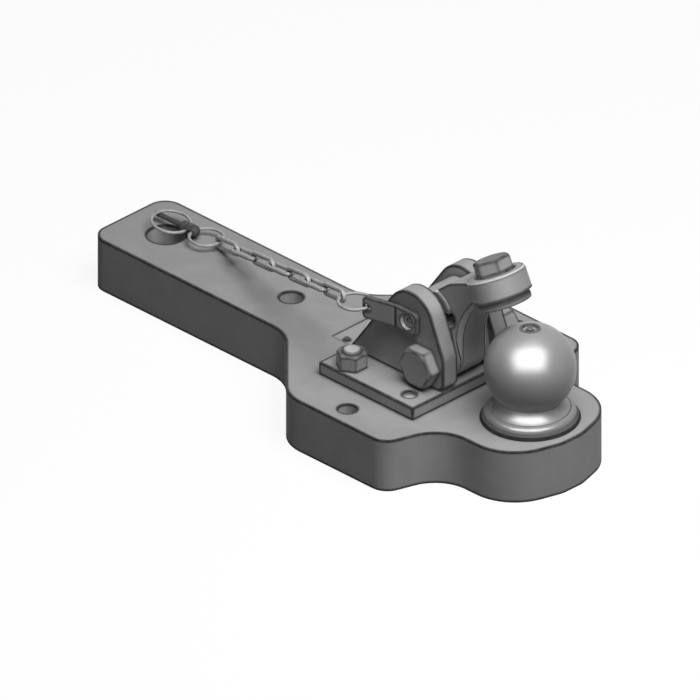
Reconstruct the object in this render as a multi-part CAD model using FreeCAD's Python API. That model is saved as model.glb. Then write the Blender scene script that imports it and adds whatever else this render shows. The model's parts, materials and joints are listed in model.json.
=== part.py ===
import FreeCAD, Part
import math
import os

V = FreeCAD.Vector

# Ball coupling on a drawbar, with a hinged keeper over the ball. Millimetres.
# Origin: axis of the drawbar pin hole, on the bar's underside. +X runs to the ball, +Z is up.

# Drawbar
bar_thick = 50.0
shank_width = 92.0
plate_width = 243.0
nose_width = 132.6
pin_to_end = 47.0
pin_to_ball = 442.0
shoulder_back = 250.5   # where the shank starts to widen, back from the ball
plate_back = 175.0      # where the plate has its full width
plate_front = 56.6      # front corner of the wide plate
throat_back = 39.4      # inner corner between plate and nose
nose_corner = 36.0      # corner of the nose side and its slanted facet, ahead of the ball
nose_facet = 11.8       # half width where the facet meets the front
nose_front = 52.0
end_round = 17.0
shoulder_round = 40.0
plate_corner_round = 18.0
throat_round = 37.0
nose_round = 47.0
nose_tip_round = 26.0
pin_hole_dia = 33.0
centre_hole_dia = 20.5
centre_hole_back = 290.0
side_hole_dia = 16.5
side_hole_back = 120.3
side_hole_edge = 20.1   # hole's axis to the wide plate's side

# Coupling ball
ball_dia = 80.0
ball_height = 48.6      # ball centre over the bar
flange_dia = 87.2
flange_taper = 3.5      # from the flange's foot to the top of its edge, on the radius
flange_top_dia = 70.0
flange_edge = 5.6
flange_height = 10.3
flange_bulge = 1.4
neck_in = 4.5           # foot of the ball's neck, inside the flange's top
neck_hollow = 2.6
waist_deg = -40.0       # where the ball runs into its neck
spigot_dia = 50.0
fit_gap = 0.05          # between a seated shaft and its bore
ball_recess_dia = 14.7
ball_recess_deep = 4.5
nipple_bore = 8.0
ball_bolt_dia = 24.0
ball_bolt_flats = 36.0
ball_bolt_head = 15.0
ball_bolt_length = 58.0
ball_washer_dia = 64.0
ball_washer_thick = 6.0
counterbore_dia = 68.0
counterbore_deep = 24.0
spigot_short = 0.5      # the washer clamps the bar before it touches the spigot
bolt_bore_spare = 2.0
nipple_dia = 6.0
nipple_hex_radius = 4.2
nipple_hex_height = 1.6
nipple_neck_radius = 2.2
nipple_bead_radius = 3.2
nipple_tip_radius = 1.4
nipple_height = 4.3

# Carrier: base plate with two cheeks
base_thick = 12.0
base_front = 66.3       # front edge, back from the ball
base_length = 113.7
base_width = 152.8
fork_gap = 44.2
cheek_thick = 17.5
cheek_front_round = 8.0
cheek_knee = 44.0       # height over the bar where the front edge starts to lean
cheek_knee_round = 20.0
stud_dia = 16.0
stud_flats = 24.0
stud_nut_height = 14.8
stud_rear_edge = 25.0   # stud's axis to the base plate's rear edge
stud_edge = 15.0        # stud's axis to the base plate's side
stud_end = 2.6          # stud standing out of its nut
stud_in_bar = 30.0
stud_chamfer = 1.2
stud_nut_turn = 15.0
front_screw_dia = 12.0
front_screw_front_edge = 19.4
front_screw_edge = 15.6
front_screw_low = 3.6   # screw end below the base plate's top
screw_head_dia = 18.0
screw_head_height = 12.0
screw_pocket_deep = 14.0
socket_flats = 10.0
hole_gap = 0.5          # a fastener in its clearance hole, on the radius
seat_back = 218.0
seat_width = 44.0
seat_deep = 0.8
seat_pin_dia = 5.0
seat_pin_back = 205.5
seat_pin_in = 10.0
seat_pin_out = 1.5
seat_under = 20.0       # length of the seat under the base plate

# Keeper pivot and lock, back from the ball and over the bar
pivot_back = 88.5
pivot_height = 32.5
pivot_dia = 22.0
pivot_flats = 34.0
pivot_head = 13.0
pivot_nut = 17.6
pivot_washer_dia = 39.0
pivot_washer_thick = 3.0
pivot_thread_end = 4.0
bush_wall = 3.0
bush_apart = 2.0        # gap between the two bushes
hub_radius = 19.3
lock_back = 106.0
lock_height = 68.5
lock_dia = 14.0
lock_blade = 8.0
blade_zone_gap = 0.15   # blade flats stop short of the cheeks
lock_eye_radius = 18.0
cheek_top_radius = 27.2
swing_deg = 38.0
running_gap = 0.3
slot_gap = 0.35
pocket_gap = 0.3

# Keeper arm
arm_width = 35.4
arm_pad_radius = 27.3   # raised side face round the lock
arm_pad_shift = 3.0
arm_front_radius = 68.5 # front face, round the ball centre
arm_front_end = 137.0   # degrees, end of that face
arm_knuckle = (81.9, 105.0)  # bend in the arm's back, back from the ball and over the bar
arm_knuckle_round = 30.0
arm_back_top = (62.5, 113.2)
arm_back_slope = 39.5
arm_edge_round = 5.0
arm_corner_round = 17.5
boss_tilt = 26.0
boss_radius = 26.5
boss_back = 33.3        # centre of the boss's lower face
boss_height = 107.0
boss_length = 20.6
boss_chamfer = 1.5
shim_radius = 22.5
shim_thick = 1.2
shim_count = 3
pad_radius = 23.8
pad_thick = 4.6
pad_edge = 1.5
pad_hollow = 1.5        # depth of the pad's hollow at its middle
pad_pocket_gap = 0.8
pad_bolt_dia = 20.0
pad_bolt_flats = 30.0
pad_bolt_head = 12.5
pad_bolt_length = 25.0
pad_bolt_turn = 10.0
spring_washer_dia = 33.0
spring_washer_thick = 4.0
spring_washer_slit = 3.0
spring_washer_sunk = 3.2

# Lock handle, a flat strip with its tail bent away from the cheek
handle_thick = 4.5
handle_width = 21.0
handle_front = 11.5     # strip ahead of the lock pin
handle_bend = 12.5      # bend behind the lock pin
handle_tail = 35.0
handle_bend_deg = 13.5
handle_round = 4.0
handle_hole_dia = 7.0
handle_hole_in = 4.8    # hole to the strip's end
lock_recess = 3.0       # lock pin's end below the handle's face
lock_mark_dia = 5.0
lock_mark_deep = 2.0
clip_groove = 1.6
clip_groove_deep = 1.0
clip_from_cheek = 1.0
clip_end = 3.0          # pin beyond its groove
clip_dia = 20.0
clip_mouth = 4.0
clip_side_gap = 0.1

# Rings, chain and lynch pin
ring_wire = 3.0
handle_ring_dia = 29.0  # over the wire's centre line
handle_ring_yaw = 4.6
chain_wire = 4.0
chain_pitch = 34.0
chain_width = 13.0
chain_count = 7
chain_yaw = 17.1
link_gap = 0.3
lynch_ring_dia = 29.8
lynch_ring_yaw = -6.0
lynch_height = 7.0      # lynch pin's axis over the bar
lynch_yaw = -1.0
lynch_head_dia = 11.0
lynch_head_length = 12.0
lynch_rod_dia = 4.5
lynch_rod_end = 44.0
snap_ring_dia = 34.0
snap_ring_wire = 2.6
snap_ring_yaw = -17.0
snap_ring_over = 0.9    # share of its diameter at which it crosses the rod
snap_ring_on = 6.5      # snap ring's hole, along the pin from the first ring's
wire_hole_gap = 1.3     # a ring's wire in its hole: the wire is curved, the hole is straight
same_length = 0.05      # edges this near in length are taken for one another


# Places worked out from the sizes

top = bar_thick
deck = bar_thick + base_thick
ball_centre = V(pin_to_ball, 0, top + ball_height)
pivot = V(pin_to_ball - pivot_back, 0, top + pivot_height)
lock = V(pin_to_ball - lock_back, 0, top + lock_height)
cheek_in = fork_gap / 2
cheek_out = cheek_in + cheek_thick
base_rear = pin_to_ball - base_front - base_length
side_hole_offset = plate_width / 2 - side_hole_edge
stud_back = base_front + base_length - stud_rear_edge
stud_offset = base_width / 2 - stud_edge
front_screw_back = base_front + front_screw_front_edge
front_screw_offset = base_width / 2 - front_screw_edge


def place(back, height):
    """A point of the middle plane, given back from the ball and over the bar."""
    return V(pin_to_ball - back, 0, top + height)


def arc(a, b, c):
    return Part.Arc(a, b, c).toShape()


def line(a, b):
    return Part.LineSegment(a, b).toShape()


def rounded_outline(corners):
    """A closed wire through corners (point, fillet radius); radius 0 leaves a sharp corner."""
    count = len(corners)
    ends = []
    for i, (point, radius) in enumerate(corners):
        before = (corners[i - 1][0] - point).normalize()
        after = (corners[(i + 1) % count][0] - point).normalize()
        if radius == 0:
            ends.append((point, None, point))
            continue
        half = before.getAngle(after) / 2
        run = radius / math.tan(half)
        middle = (before + after).normalize()
        centre = point + middle * (radius / math.sin(half))
        ends.append((point + before * run, centre - middle * radius, point + after * run))
    edges = []
    for i in range(count):
        start, bulge, end = ends[i]
        if bulge is not None:
            edges.append(arc(start, bulge, end))
        following = ends[(i + 1) % count][0]
        if (following - end).Length > 1e-6:
            edges.append(line(end, following))
    return Part.Wire(edges)


def prism(wire, depth):
    return Part.Face(wire).extrude(depth)


def cylinder(radius, length, base, axis):
    return Part.makeCylinder(radius, length, base, axis)


def hexagon(flats, length, base, axis, turn=0.0):
    """A hexagonal prism with its outer corners chamfered at the far end."""
    corner = flats / 2 / math.cos(math.radians(30))
    points = []
    for i in range(6):
        angle = math.radians(60 * i + turn)
        points.append(V(corner * math.cos(angle), corner * math.sin(angle), 0))
    body = Part.Face(Part.makePolygon(points + points[:1])).extrude(V(0, 0, length))
    rim = flats / 2 * 0.96
    slope = math.tan(math.radians(30))
    body = body.common(Part.makeCone(rim + length / slope, rim, length))
    body.Placement = FreeCAD.Placement(base, FreeCAD.Rotation(V(0, 0, 1), axis))
    return body


def revolve(points, base=V(0, 0, 0)):
    """A solid of revolution about the vertical through base, from (radius, height) points and arcs."""
    edges = []
    for item in points:
        corners = [base + V(r, 0, z) for r, z in item]
        edges.append(arc(*corners) if len(corners) == 3 else line(*corners))
    return Part.Face(Part.Wire(edges)).revolve(base, V(0, 0, 1), 360)


def tangent_hull(centre_a, radius_a, centre_b, radius_b):
    """The outline of a belt round two discs in the middle plane."""
    along = centre_b - centre_a
    span = along.Length
    along.normalize()
    across = V(-along.z, 0, along.x)
    lean = (radius_a - radius_b) / span
    rise = math.sqrt(1 - lean * lean)
    left = along * lean + across * rise
    right = along * lean - across * rise
    return Part.Wire([
        line(centre_a + left * radius_a, centre_b + left * radius_b),
        arc(centre_b + left * radius_b, centre_b + along * radius_b, centre_b + right * radius_b),
        line(centre_b + right * radius_b, centre_a + right * radius_a),
        arc(centre_a + right * radius_a, centre_a - along * radius_a, centre_a + left * radius_a),
    ])


def across_prism(wire, half_width):
    """A middle plane outline made into a solid that reaches half_width to each side."""
    moved = wire.copy()
    moved.translate(V(0, -half_width, 0))
    return prism(moved, V(0, 2 * half_width, 0))


def mirrored(shape):
    return shape.mirror(V(0, 0, 0), V(0, 1, 0))


def pair(shape):
    return Part.makeCompound([shape, mirrored(shape)])


def export(shape, name):
    shape.exportStep("parts/" + name + ".step")


# Drawbar plate

def drawbar_outline():
    half = [
        (-pin_to_end, shank_width / 2, end_round),
        (pin_to_ball - shoulder_back, shank_width / 2, shoulder_round),
        (pin_to_ball - plate_back, plate_width / 2, shoulder_round),
        (pin_to_ball - plate_front, plate_width / 2, plate_corner_round),
        (pin_to_ball - throat_back, nose_width / 2, throat_round),
        (pin_to_ball + nose_corner, nose_width / 2, nose_round),
        (pin_to_ball + nose_front, nose_facet, nose_tip_round),
    ]
    corners = [(V(x, y, 0), r) for x, y, r in half]
    corners += [(V(x, -y, 0), r) for x, y, r in reversed(half)]
    return rounded_outline(corners)


def make_drawbar():
    plate = prism(drawbar_outline(), V(0, 0, bar_thick))
    up = V(0, 0, 1)
    cuts = [
        cylinder(pin_hole_dia / 2, bar_thick, V(0, 0, 0), up),
        cylinder(centre_hole_dia / 2, bar_thick, V(pin_to_ball - centre_hole_back, 0, 0), up),
        cylinder(spigot_dia / 2 + fit_gap, bar_thick, V(pin_to_ball, 0, 0), up),
        cylinder(counterbore_dia / 2, counterbore_deep, V(pin_to_ball, 0, 0), up),
    ]
    for side in (-1, 1):
        cuts.append(cylinder(side_hole_dia / 2, bar_thick,
                             V(pin_to_ball - side_hole_back, side * side_hole_offset, 0), up))
        cuts.append(cylinder(stud_dia / 2 + fit_gap, stud_in_bar,
                             V(pin_to_ball - stud_back, side * stud_offset, top - stud_in_bar), up))
        screw = V(pin_to_ball - front_screw_back, side * front_screw_offset, 0)
        cuts.append(cylinder(front_screw_dia / 2 + hole_gap, bar_thick, screw, up))
        cuts.append(cylinder(screw_head_dia / 2 + hole_gap, screw_pocket_deep, screw, up))
    seat_front = base_rear + seat_under
    seat_rear = pin_to_ball - seat_back
    cuts.append(Part.makeBox(seat_front - seat_rear, seat_width, seat_deep,
                             V(seat_rear, -seat_width / 2, top - seat_deep)))
    cuts.append(cylinder(seat_pin_dia / 2 + fit_gap, seat_pin_in, seat_pin_foot(), up))
    return plate.cut(cuts)


# Coupling ball, its nipple, washer and bolt

def make_ball():
    r = ball_dia / 2
    z = ball_centre.z
    low = math.radians(waist_deg)
    waist = (r * math.cos(low), z + r * math.sin(low))
    edge = (flange_dia / 2 - flange_taper, top + flange_edge)
    shelf = (flange_top_dia / 2, top + flange_height)
    foot = (shelf[0] - neck_in, shelf[1])
    neck = (foot[0] - neck_hollow, (foot[1] + waist[1]) / 2)
    bulge = ((edge[0] + shelf[0]) / 2 + flange_bulge, (edge[1] + shelf[1]) / 2 + flange_bulge)
    spigot_end = counterbore_deep + spigot_short
    recess = z + r - ball_recess_deep
    bore_top = counterbore_deep - ball_washer_thick + ball_bolt_length + bolt_bore_spare
    hole = ball_bolt_dia / 2 + fit_gap
    rim = (ball_recess_dia / 2, z + math.sqrt(r * r - (ball_recess_dia / 2) ** 2))
    return revolve([
        ((hole, spigot_end), (spigot_dia / 2, spigot_end)),
        ((spigot_dia / 2, spigot_end), (spigot_dia / 2, top)),
        ((spigot_dia / 2, top), (flange_dia / 2, top)),
        ((flange_dia / 2, top), edge),
        (edge, bulge, shelf),
        (shelf, foot),
        (foot, neck, waist),
        (waist, (r, z), rim),
        (rim, (ball_recess_dia / 2, recess)),
        ((ball_recess_dia / 2, recess), (nipple_dia / 2, recess)),
        ((nipple_dia / 2, recess), (nipple_dia / 2, recess - nipple_bore)),
        ((nipple_dia / 2, recess - nipple_bore), (0, recess - nipple_bore)),
        ((0, recess - nipple_bore), (0, bore_top)),
        ((0, bore_top), (hole, bore_top)),
        ((hole, bore_top), (hole, spigot_end)),
    ], V(pin_to_ball, 0, 0))


def make_nipple():
    floor = top + ball_height + ball_dia / 2 - ball_recess_deep
    shank = nipple_dia / 2
    foot = floor - nipple_bore + hole_gap
    hex_top = floor + nipple_hex_height
    crown = floor + nipple_height
    bead = crown - (nipple_bead_radius - nipple_tip_radius) / 2
    neck_top = bead - (nipple_bead_radius - nipple_neck_radius)
    return revolve([
        ((0, foot), (shank, foot)),
        ((shank, foot), (shank, floor)),
        ((shank, floor), (nipple_hex_radius, floor)),
        ((nipple_hex_radius, floor), (nipple_hex_radius, hex_top)),
        ((nipple_hex_radius, hex_top), (nipple_neck_radius, hex_top)),
        ((nipple_neck_radius, hex_top), (nipple_neck_radius, neck_top)),
        ((nipple_neck_radius, neck_top), (nipple_bead_radius, bead)),
        ((nipple_bead_radius, bead), (nipple_tip_radius, crown)),
        ((nipple_tip_radius, crown), (0, crown)),
        ((0, crown), (0, foot)),
    ], V(pin_to_ball, 0, 0))


def make_ball_washer():
    low = counterbore_deep - ball_washer_thick
    centre = V(pin_to_ball, 0, low)
    up = V(0, 0, 1)
    disc = cylinder(ball_washer_dia / 2, ball_washer_thick, centre, up)
    return disc.cut(cylinder(ball_bolt_dia / 2 + hole_gap, ball_washer_thick, centre, up))


def make_ball_bolt():
    seat = V(pin_to_ball, 0, counterbore_deep - ball_washer_thick)
    head = hexagon(ball_bolt_flats, ball_bolt_head, seat, V(0, 0, -1))
    return head.fuse(cylinder(ball_bolt_dia / 2, ball_bolt_length, seat, V(0, 0, 1)))


# Carrier

def make_base_plate():
    plate = Part.makeBox(base_length, base_width, base_thick, V(base_rear, -base_width / 2, top))
    up = V(0, 0, 1)
    cuts = []
    for side in (-1, 1):
        cuts.append(cylinder(stud_dia / 2 + hole_gap, base_thick,
                             V(pin_to_ball - stud_back, side * stud_offset, top), up))
        cuts.append(cylinder(front_screw_dia / 2 + fit_gap, base_thick,
                             V(pin_to_ball - front_screw_back, side * front_screw_offset, top), up))
    return plate.cut(cuts)


def make_cheek(side):
    foot = V(base_rear, 0, deck)
    toe = V(pin_to_ball - base_front, 0, deck)
    knee = V(toe.x, 0, top + cheek_knee)
    tip = cheek_apex(foot, knee)
    outline = rounded_outline([
        (foot, 0),
        (toe, cheek_front_round),
        (knee, cheek_knee_round),
        (tip, cheek_top_radius),
    ])
    inner = cheek_in if side > 0 else -cheek_out
    outline.translate(V(0, inner, 0))
    plate = prism(outline, V(0, cheek_thick, 0))
    across = V(0, 1, 0)
    return plate.cut([
        cylinder(pivot_dia / 2 + fit_gap, cheek_thick, V(pivot.x, inner, pivot.z), across),
        cylinder(lock_dia / 2 + fit_gap, cheek_thick, V(lock.x, inner, lock.z), across),
    ])


def cheek_apex(foot, knee):
    """The corner where the two leaning edges meet; both touch a circle round the lock pin."""
    def tangent(point, sign):
        to_lock = lock - point
        lean = math.asin(cheek_top_radius / to_lock.Length)
        angle = math.atan2(to_lock.z, to_lock.x) + sign * lean
        return V(math.cos(angle), 0, math.sin(angle))
    rear = tangent(foot, 1)
    front = tangent(knee, -1)
    gap = knee - foot
    reach = (gap.x * front.z - gap.z * front.x) / (rear.x * front.z - rear.z * front.x)
    return foot + rear * reach


def make_studs():
    length = stud_in_bar + base_thick + stud_nut_height + stud_end
    foot = V(pin_to_ball - stud_back, -stud_offset, top - stud_in_bar)
    stud = cylinder(stud_dia / 2, length, foot, V(0, 0, 1))
    rim = [e for e in stud.Edges if abs(e.BoundBox.ZMin - foot.z - length) < 1e-6
           and abs(e.BoundBox.ZMax - foot.z - length) < 1e-6]
    return pair(stud.makeChamfer(stud_chamfer, rim))


def make_stud_nuts():
    seat = V(pin_to_ball - stud_back, -stud_offset, deck)
    nut = hexagon(stud_flats, stud_nut_height, seat, V(0, 0, 1), stud_nut_turn)
    return pair(nut.cut(cylinder(stud_dia / 2 + fit_gap, stud_nut_height, seat, V(0, 0, 1))))


def make_front_screws():
    up = V(0, 0, 1)
    seat = V(pin_to_ball - front_screw_back, -front_screw_offset, screw_pocket_deep)
    length = deck - front_screw_low - screw_pocket_deep
    shank = cylinder(front_screw_dia / 2, length, seat, up)
    head = cylinder(screw_head_dia / 2, screw_head_height, seat - up * screw_head_height, up)
    socket = hexagon(socket_flats, screw_head_height / 2, seat - up * screw_head_height, up)
    return pair(shank.fuse(head).cut(socket))


def seat_pin_foot():
    return V(pin_to_ball - seat_pin_back, -seat_width / 2 + seat_pin_dia, top - seat_pin_in)


def make_seat_pin():
    return cylinder(seat_pin_dia / 2, seat_pin_in + seat_pin_out, seat_pin_foot(), V(0, 0, 1))


# Pivot bolt, its washer and nut

def make_pivot_bolt():
    across = V(0, 1, 0)
    seat = V(pivot.x, -cheek_out, pivot.z)
    length = 2 * cheek_out + pivot_washer_thick + pivot_nut + pivot_thread_end
    head = hexagon(pivot_flats, pivot_head, seat, V(0, -1, 0))
    return head.fuse(cylinder(pivot_dia / 2, length, seat, across))


def make_pivot_washer():
    across = V(0, 1, 0)
    seat = V(pivot.x, cheek_out, pivot.z)
    disc = cylinder(pivot_washer_dia / 2, pivot_washer_thick, seat, across)
    return disc.cut(cylinder(pivot_dia / 2 + hole_gap, pivot_washer_thick, seat, across))


def make_pivot_nut():
    across = V(0, 1, 0)
    seat = V(pivot.x, cheek_out + pivot_washer_thick, pivot.z)
    nut = hexagon(pivot_flats, pivot_nut, seat, across)
    return nut.cut(cylinder(pivot_dia / 2 + fit_gap, pivot_nut, seat, across))


# Keeper arm

boss_axis = V(-math.sin(math.radians(boss_tilt)), 0, math.cos(math.radians(boss_tilt)))
boss_low = place(boss_back, boss_height)
washer_low = boss_low + boss_axis * (boss_length - spring_washer_sunk)


def web_outline():
    """The arm's side outline: front face round the ball, back bent at the knuckle."""
    front = ball_centre - V(arm_front_radius, 0, 0)
    low = V(front.x, 0, pivot.z - hub_radius)
    heel = V(pivot.x, 0, low.z)

    def on_front(degrees):
        angle = math.radians(degrees)
        return ball_centre + V(math.cos(angle), 0, math.sin(angle)) * arm_front_radius

    knuckle = place(*arm_knuckle)
    slope = math.radians(arm_back_slope)
    down = V(-math.cos(slope), 0, -math.sin(slope))
    nearest = knuckle + down * (lock - knuckle).dot(down)
    corner = min(arm_corner_round, low.x - heel.x - running_gap)
    up = V(0, 0, corner)
    centre = low + up - V(corner, 0, 0)
    toe = centre + V(math.cos(math.radians(45)), 0, -math.sin(math.radians(45))) * corner
    back_top = place(*arm_back_top)
    towards = (back_top - knuckle).normalize()
    run = arm_knuckle_round * math.tan(down.getAngle(towards * -1) / 2)
    before = knuckle + towards * run
    after = knuckle + down * run
    middle = (towards + down).normalize()
    half = towards.getAngle(down) / 2
    bulge = knuckle + middle * (arm_knuckle_round / math.sin(half) - arm_knuckle_round)
    return Part.Wire([
        line(heel, low - V(corner, 0, 0)),
        arc(low - V(corner, 0, 0), toe, low + up),
        line(low + up, front),
        arc(front, on_front((180 + arm_front_end) / 2), on_front(arm_front_end)),
        line(on_front(arm_front_end), boss_low + boss_axis * boss_length / 2),
        line(boss_low + boss_axis * boss_length / 2, back_top),
        line(back_top, before),
        arc(before, bulge, after),
        line(after, nearest),
        line(nearest, lock),
        line(lock, pivot),
        line(pivot, heel),
    ])


def front_edges(solid, half_width):
    """The web's two long front edges, on the straight part and round the ball."""
    picked = []
    for edge in solid.Edges:
        box = edge.BoundBox
        flat = abs(abs(box.YMin) - half_width) < 1e-4 and box.YLength < 1e-4
        middle = edge.valueAt((edge.FirstParameter + edge.LastParameter) / 2)
        reach = math.hypot(middle.x - ball_centre.x, middle.z - ball_centre.z)
        straight = abs(middle.x - ball_centre.x + arm_front_radius) < 1e-3
        if flat and (straight or abs(reach - arm_front_radius) < 1e-3):
            picked.append(edge)
    return picked


def make_arm():
    half = arm_width / 2
    side = cheek_in - running_gap
    outline = web_outline()
    web = across_prism(outline, half)
    web = web.makeFillet(arm_edge_round, front_edges(web, half))
    eye = across_prism(tangent_hull(pivot, hub_radius, lock, lock_eye_radius), side)
    raised = across_prism(
        tangent_hull(pivot, hub_radius, lock + V(arm_pad_shift, 0, 0), arm_pad_radius), side)
    raised = raised.common(across_prism(outline, side))
    boss = cylinder(boss_radius, boss_length, boss_low, boss_axis)
    rim = [e for e in boss.Edges if len(e.Vertexes) == 1
           and (e.Curve.Center - boss_low).Length > boss_length / 2]
    boss = boss.makeChamfer(boss_chamfer, rim)
    arm = web.fuse([eye, raised, boss])
    stack = shim_thick * shim_count + pad_thick
    across = V(0, 1, 0)
    clear = cylinder(pad_radius + pad_pocket_gap, 2 * stack, boss_low - boss_axis * 2 * stack, boss_axis)
    bore = cylinder(pivot_dia / 2 + bush_wall, 2 * side, V(pivot.x, -side, pivot.z), across)
    bolt_hole = cylinder(pad_bolt_dia / 2 + hole_gap, boss_length, boss_low, boss_axis)
    washer_seat = cylinder(spring_washer_dia / 2 + hole_gap, 2 * spring_washer_sunk, washer_low, boss_axis)
    return arm.cut([clear, bore, bolt_hole, washer_seat] + lock_slot(side)).removeSplitter()


def lock_slot(side):
    """Curved slot round the pivot that the lock's blade runs in, with a round pocket at each end."""
    reach = (lock - pivot).Length
    start = math.degrees(math.atan2(lock.z - pivot.z, lock.x - pivot.x))
    flat = math.sqrt((lock_dia / 2) ** 2 - (lock_blade / 2) ** 2)
    inner = reach - lock_blade / 2 - slot_gap
    outer = math.hypot(reach + lock_blade / 2, flat) + slot_gap

    def at(radius, degrees):
        angle = math.radians(degrees)
        return pivot + V(math.cos(angle), 0, math.sin(angle)) * radius

    end = start - swing_deg
    middle = (start + end) / 2
    wire = Part.Wire([
        arc(at(inner, start), at(inner, middle), at(inner, end)),
        line(at(inner, end), at(outer, end)),
        arc(at(outer, end), at(outer, middle), at(outer, start)),
        line(at(outer, start), at(inner, start)),
    ])
    across = V(0, 1, 0)
    cuts = [across_prism(wire, side)]
    for degrees in (start, end):
        spot = at(reach, degrees)
        cuts.append(cylinder(lock_dia / 2 + pocket_gap, 2 * side, V(spot.x, -side, spot.z), across))
    return cuts


def make_bushes():
    across = V(0, 1, 0)
    length = cheek_in - running_gap - bush_apart / 2
    start = V(pivot.x, bush_apart / 2, pivot.z)
    bush = cylinder(pivot_dia / 2 + bush_wall, length, start, across)
    return pair(bush.cut(cylinder(pivot_dia / 2 + fit_gap, length, start, across)))


# Hold-down pad, shims, bolt and spring washer

def make_shims():
    discs = []
    for i in range(shim_count):
        base = boss_low - boss_axis * shim_thick * (i + 1)
        disc = cylinder(shim_radius, shim_thick, base, boss_axis)
        discs.append(disc.cut(cylinder(pad_bolt_dia / 2 + hole_gap, shim_thick, base, boss_axis)))
    return Part.makeCompound(discs)


def make_pad():
    """The pad's face is hollowed to sit round a coupling cup on the ball."""
    base = boss_low - boss_axis * (shim_thick * shim_count + pad_thick)
    pad = cylinder(pad_radius, pad_thick, base, boss_axis)
    rim = [e for e in pad.Edges if len(e.Vertexes) == 1 and (e.Curve.Center - base).Length < 1e-6]
    pad = pad.makeFillet(pad_edge, rim)
    hollow = (base - ball_centre).Length + pad_hollow
    pad = pad.cut(Part.makeSphere(hollow, ball_centre))
    thread = cylinder(pad_bolt_dia / 2 + fit_gap, pad_thick, base, boss_axis)
    return pad.cut(thread)


def make_pad_bolt():
    seat = washer_low + boss_axis * spring_washer_thick
    head = hexagon(pad_bolt_flats, pad_bolt_head, seat, boss_axis, pad_bolt_turn)
    return head.fuse(cylinder(pad_bolt_dia / 2, pad_bolt_length, seat - boss_axis * pad_bolt_length, boss_axis))


def make_spring_washer():
    disc = cylinder(spring_washer_dia / 2, spring_washer_thick, washer_low, boss_axis)
    hole = cylinder(pad_bolt_dia / 2 + hole_gap, spring_washer_thick, washer_low, boss_axis)
    slit = Part.makeBox(spring_washer_dia, spring_washer_slit, 3 * spring_washer_thick,
                        V(0, -spring_washer_slit / 2, -spring_washer_thick))
    slit.Placement = FreeCAD.Placement(washer_low, FreeCAD.Rotation(V(0, 1, 0), -boss_tilt))
    return disc.cut([hole, slit])


# Lock pin, its clip and its handle

handle_in = -(cheek_out + running_gap)
handle_out = handle_in - handle_thick
tail_way = V(-math.cos(math.radians(handle_bend_deg)), -math.sin(math.radians(handle_bend_deg)), 0)


def make_lock_pin():
    across = V(0, 1, 0)
    near = handle_out + lock_recess
    groove_at = V(lock.x, cheek_out + clip_from_cheek, lock.z)
    far = groove_at.y + clip_groove + clip_end
    pin = cylinder(lock_dia / 2, far - near, V(lock.x, near, lock.z), across)
    zone = 2 * (cheek_in - blade_zone_gap)
    radial = (lock - pivot).normalize()
    keep = Part.makeBox(4 * lock_dia, zone, 2 * lock_dia, V(-2 * lock_dia, -zone / 2, lock_blade / 2))
    turn = FreeCAD.Rotation(V(0, 0, 1), radial)
    above = keep.copy()
    above.Placement = FreeCAD.Placement(lock, turn)
    below = keep.mirror(V(0, 0, 0), V(0, 0, 1))
    below.Placement = FreeCAD.Placement(lock, turn).multiply(below.Placement)
    groove = cylinder(lock_dia, clip_groove, groove_at, across)
    groove = groove.cut(cylinder(lock_dia / 2 - clip_groove_deep, clip_groove, groove_at, across))
    mark = cylinder(lock_mark_dia / 2, lock_mark_deep, V(lock.x, near, lock.z), across)
    return pin.cut([above, below, groove, mark])


def make_lock_clip():
    across = V(0, 1, 0)
    thick = clip_groove - clip_side_gap
    spot = V(lock.x, cheek_out + clip_from_cheek + clip_side_gap / 2, lock.z)
    disc = cylinder(clip_dia / 2, thick, spot, across)
    disc = disc.cut(cylinder(lock_dia / 2 - clip_groove_deep + fit_gap, thick, spot, across))
    return disc.cut(Part.makeBox(clip_mouth, thick, clip_dia, V(lock.x - clip_mouth / 2, spot.y, lock.z)))


def handle_hole():
    """Centre of the ring's hole, in the middle of the strip."""
    bend = V(lock.x - handle_bend, handle_in - handle_thick / 2, lock.z)
    return bend + tail_way * (handle_tail - handle_hole_in)


def make_handle():
    normal = V(-tail_way.y, tail_way.x, 0)
    turn = math.radians(handle_bend_deg / 2)
    mitre = V(-math.sin(turn), -math.cos(turn), 0) * (handle_thick / math.cos(turn))
    front = lock.x + handle_front
    bend = V(lock.x - handle_bend, handle_in, 0)
    end = bend + tail_way * handle_tail
    outer = bend + mitre
    outline = Part.makePolygon([
        V(front, handle_in, 0), bend, end, end + normal * handle_thick,
        outer, V(front, handle_out, 0), V(front, handle_in, 0),
    ])
    low = lock.z - handle_width / 2
    outline.translate(V(0, 0, low))
    strip = prism(outline, V(0, 0, handle_width))
    corners = []
    for edge in strip.Edges:
        box = edge.BoundBox
        short = box.ZLength < 1e-6 and abs(edge.Length - handle_thick) < same_length
        at_front = box.XMin > front - 1e-3
        at_end = box.XMax < end.x + handle_thick
        if short and (at_front or at_end):
            corners.append(edge)
    strip = strip.makeFillet(handle_round, corners)
    pin_hole = cylinder(lock_dia / 2, handle_thick, V(lock.x, handle_out, lock.z), V(0, 1, 0))
    ring_hole = cylinder(handle_hole_dia / 2, 4 * handle_thick,
                         handle_hole() - normal * 2 * handle_thick, normal)
    return strip.cut([pin_hole, ring_hole])


# Rings and chain: a wire loop has an eight-sided section

def octagon(centre, out, up, radius):
    """Section of a wire, flat against its neighbours, in the plane of out and up."""
    points = []
    for i in range(8):
        angle = math.radians(45 * i + 22.5)
        points.append(centre + (out * math.cos(angle) + up * math.sin(angle)) * radius)
    return Part.Face(Part.makePolygon(points + points[:1]))


def ring(centre, out, up, diameter, wire):
    section = octagon(centre + out * (diameter / 2), out, up, wire / 2)
    return section.revolve(centre, up, 360)


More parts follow.
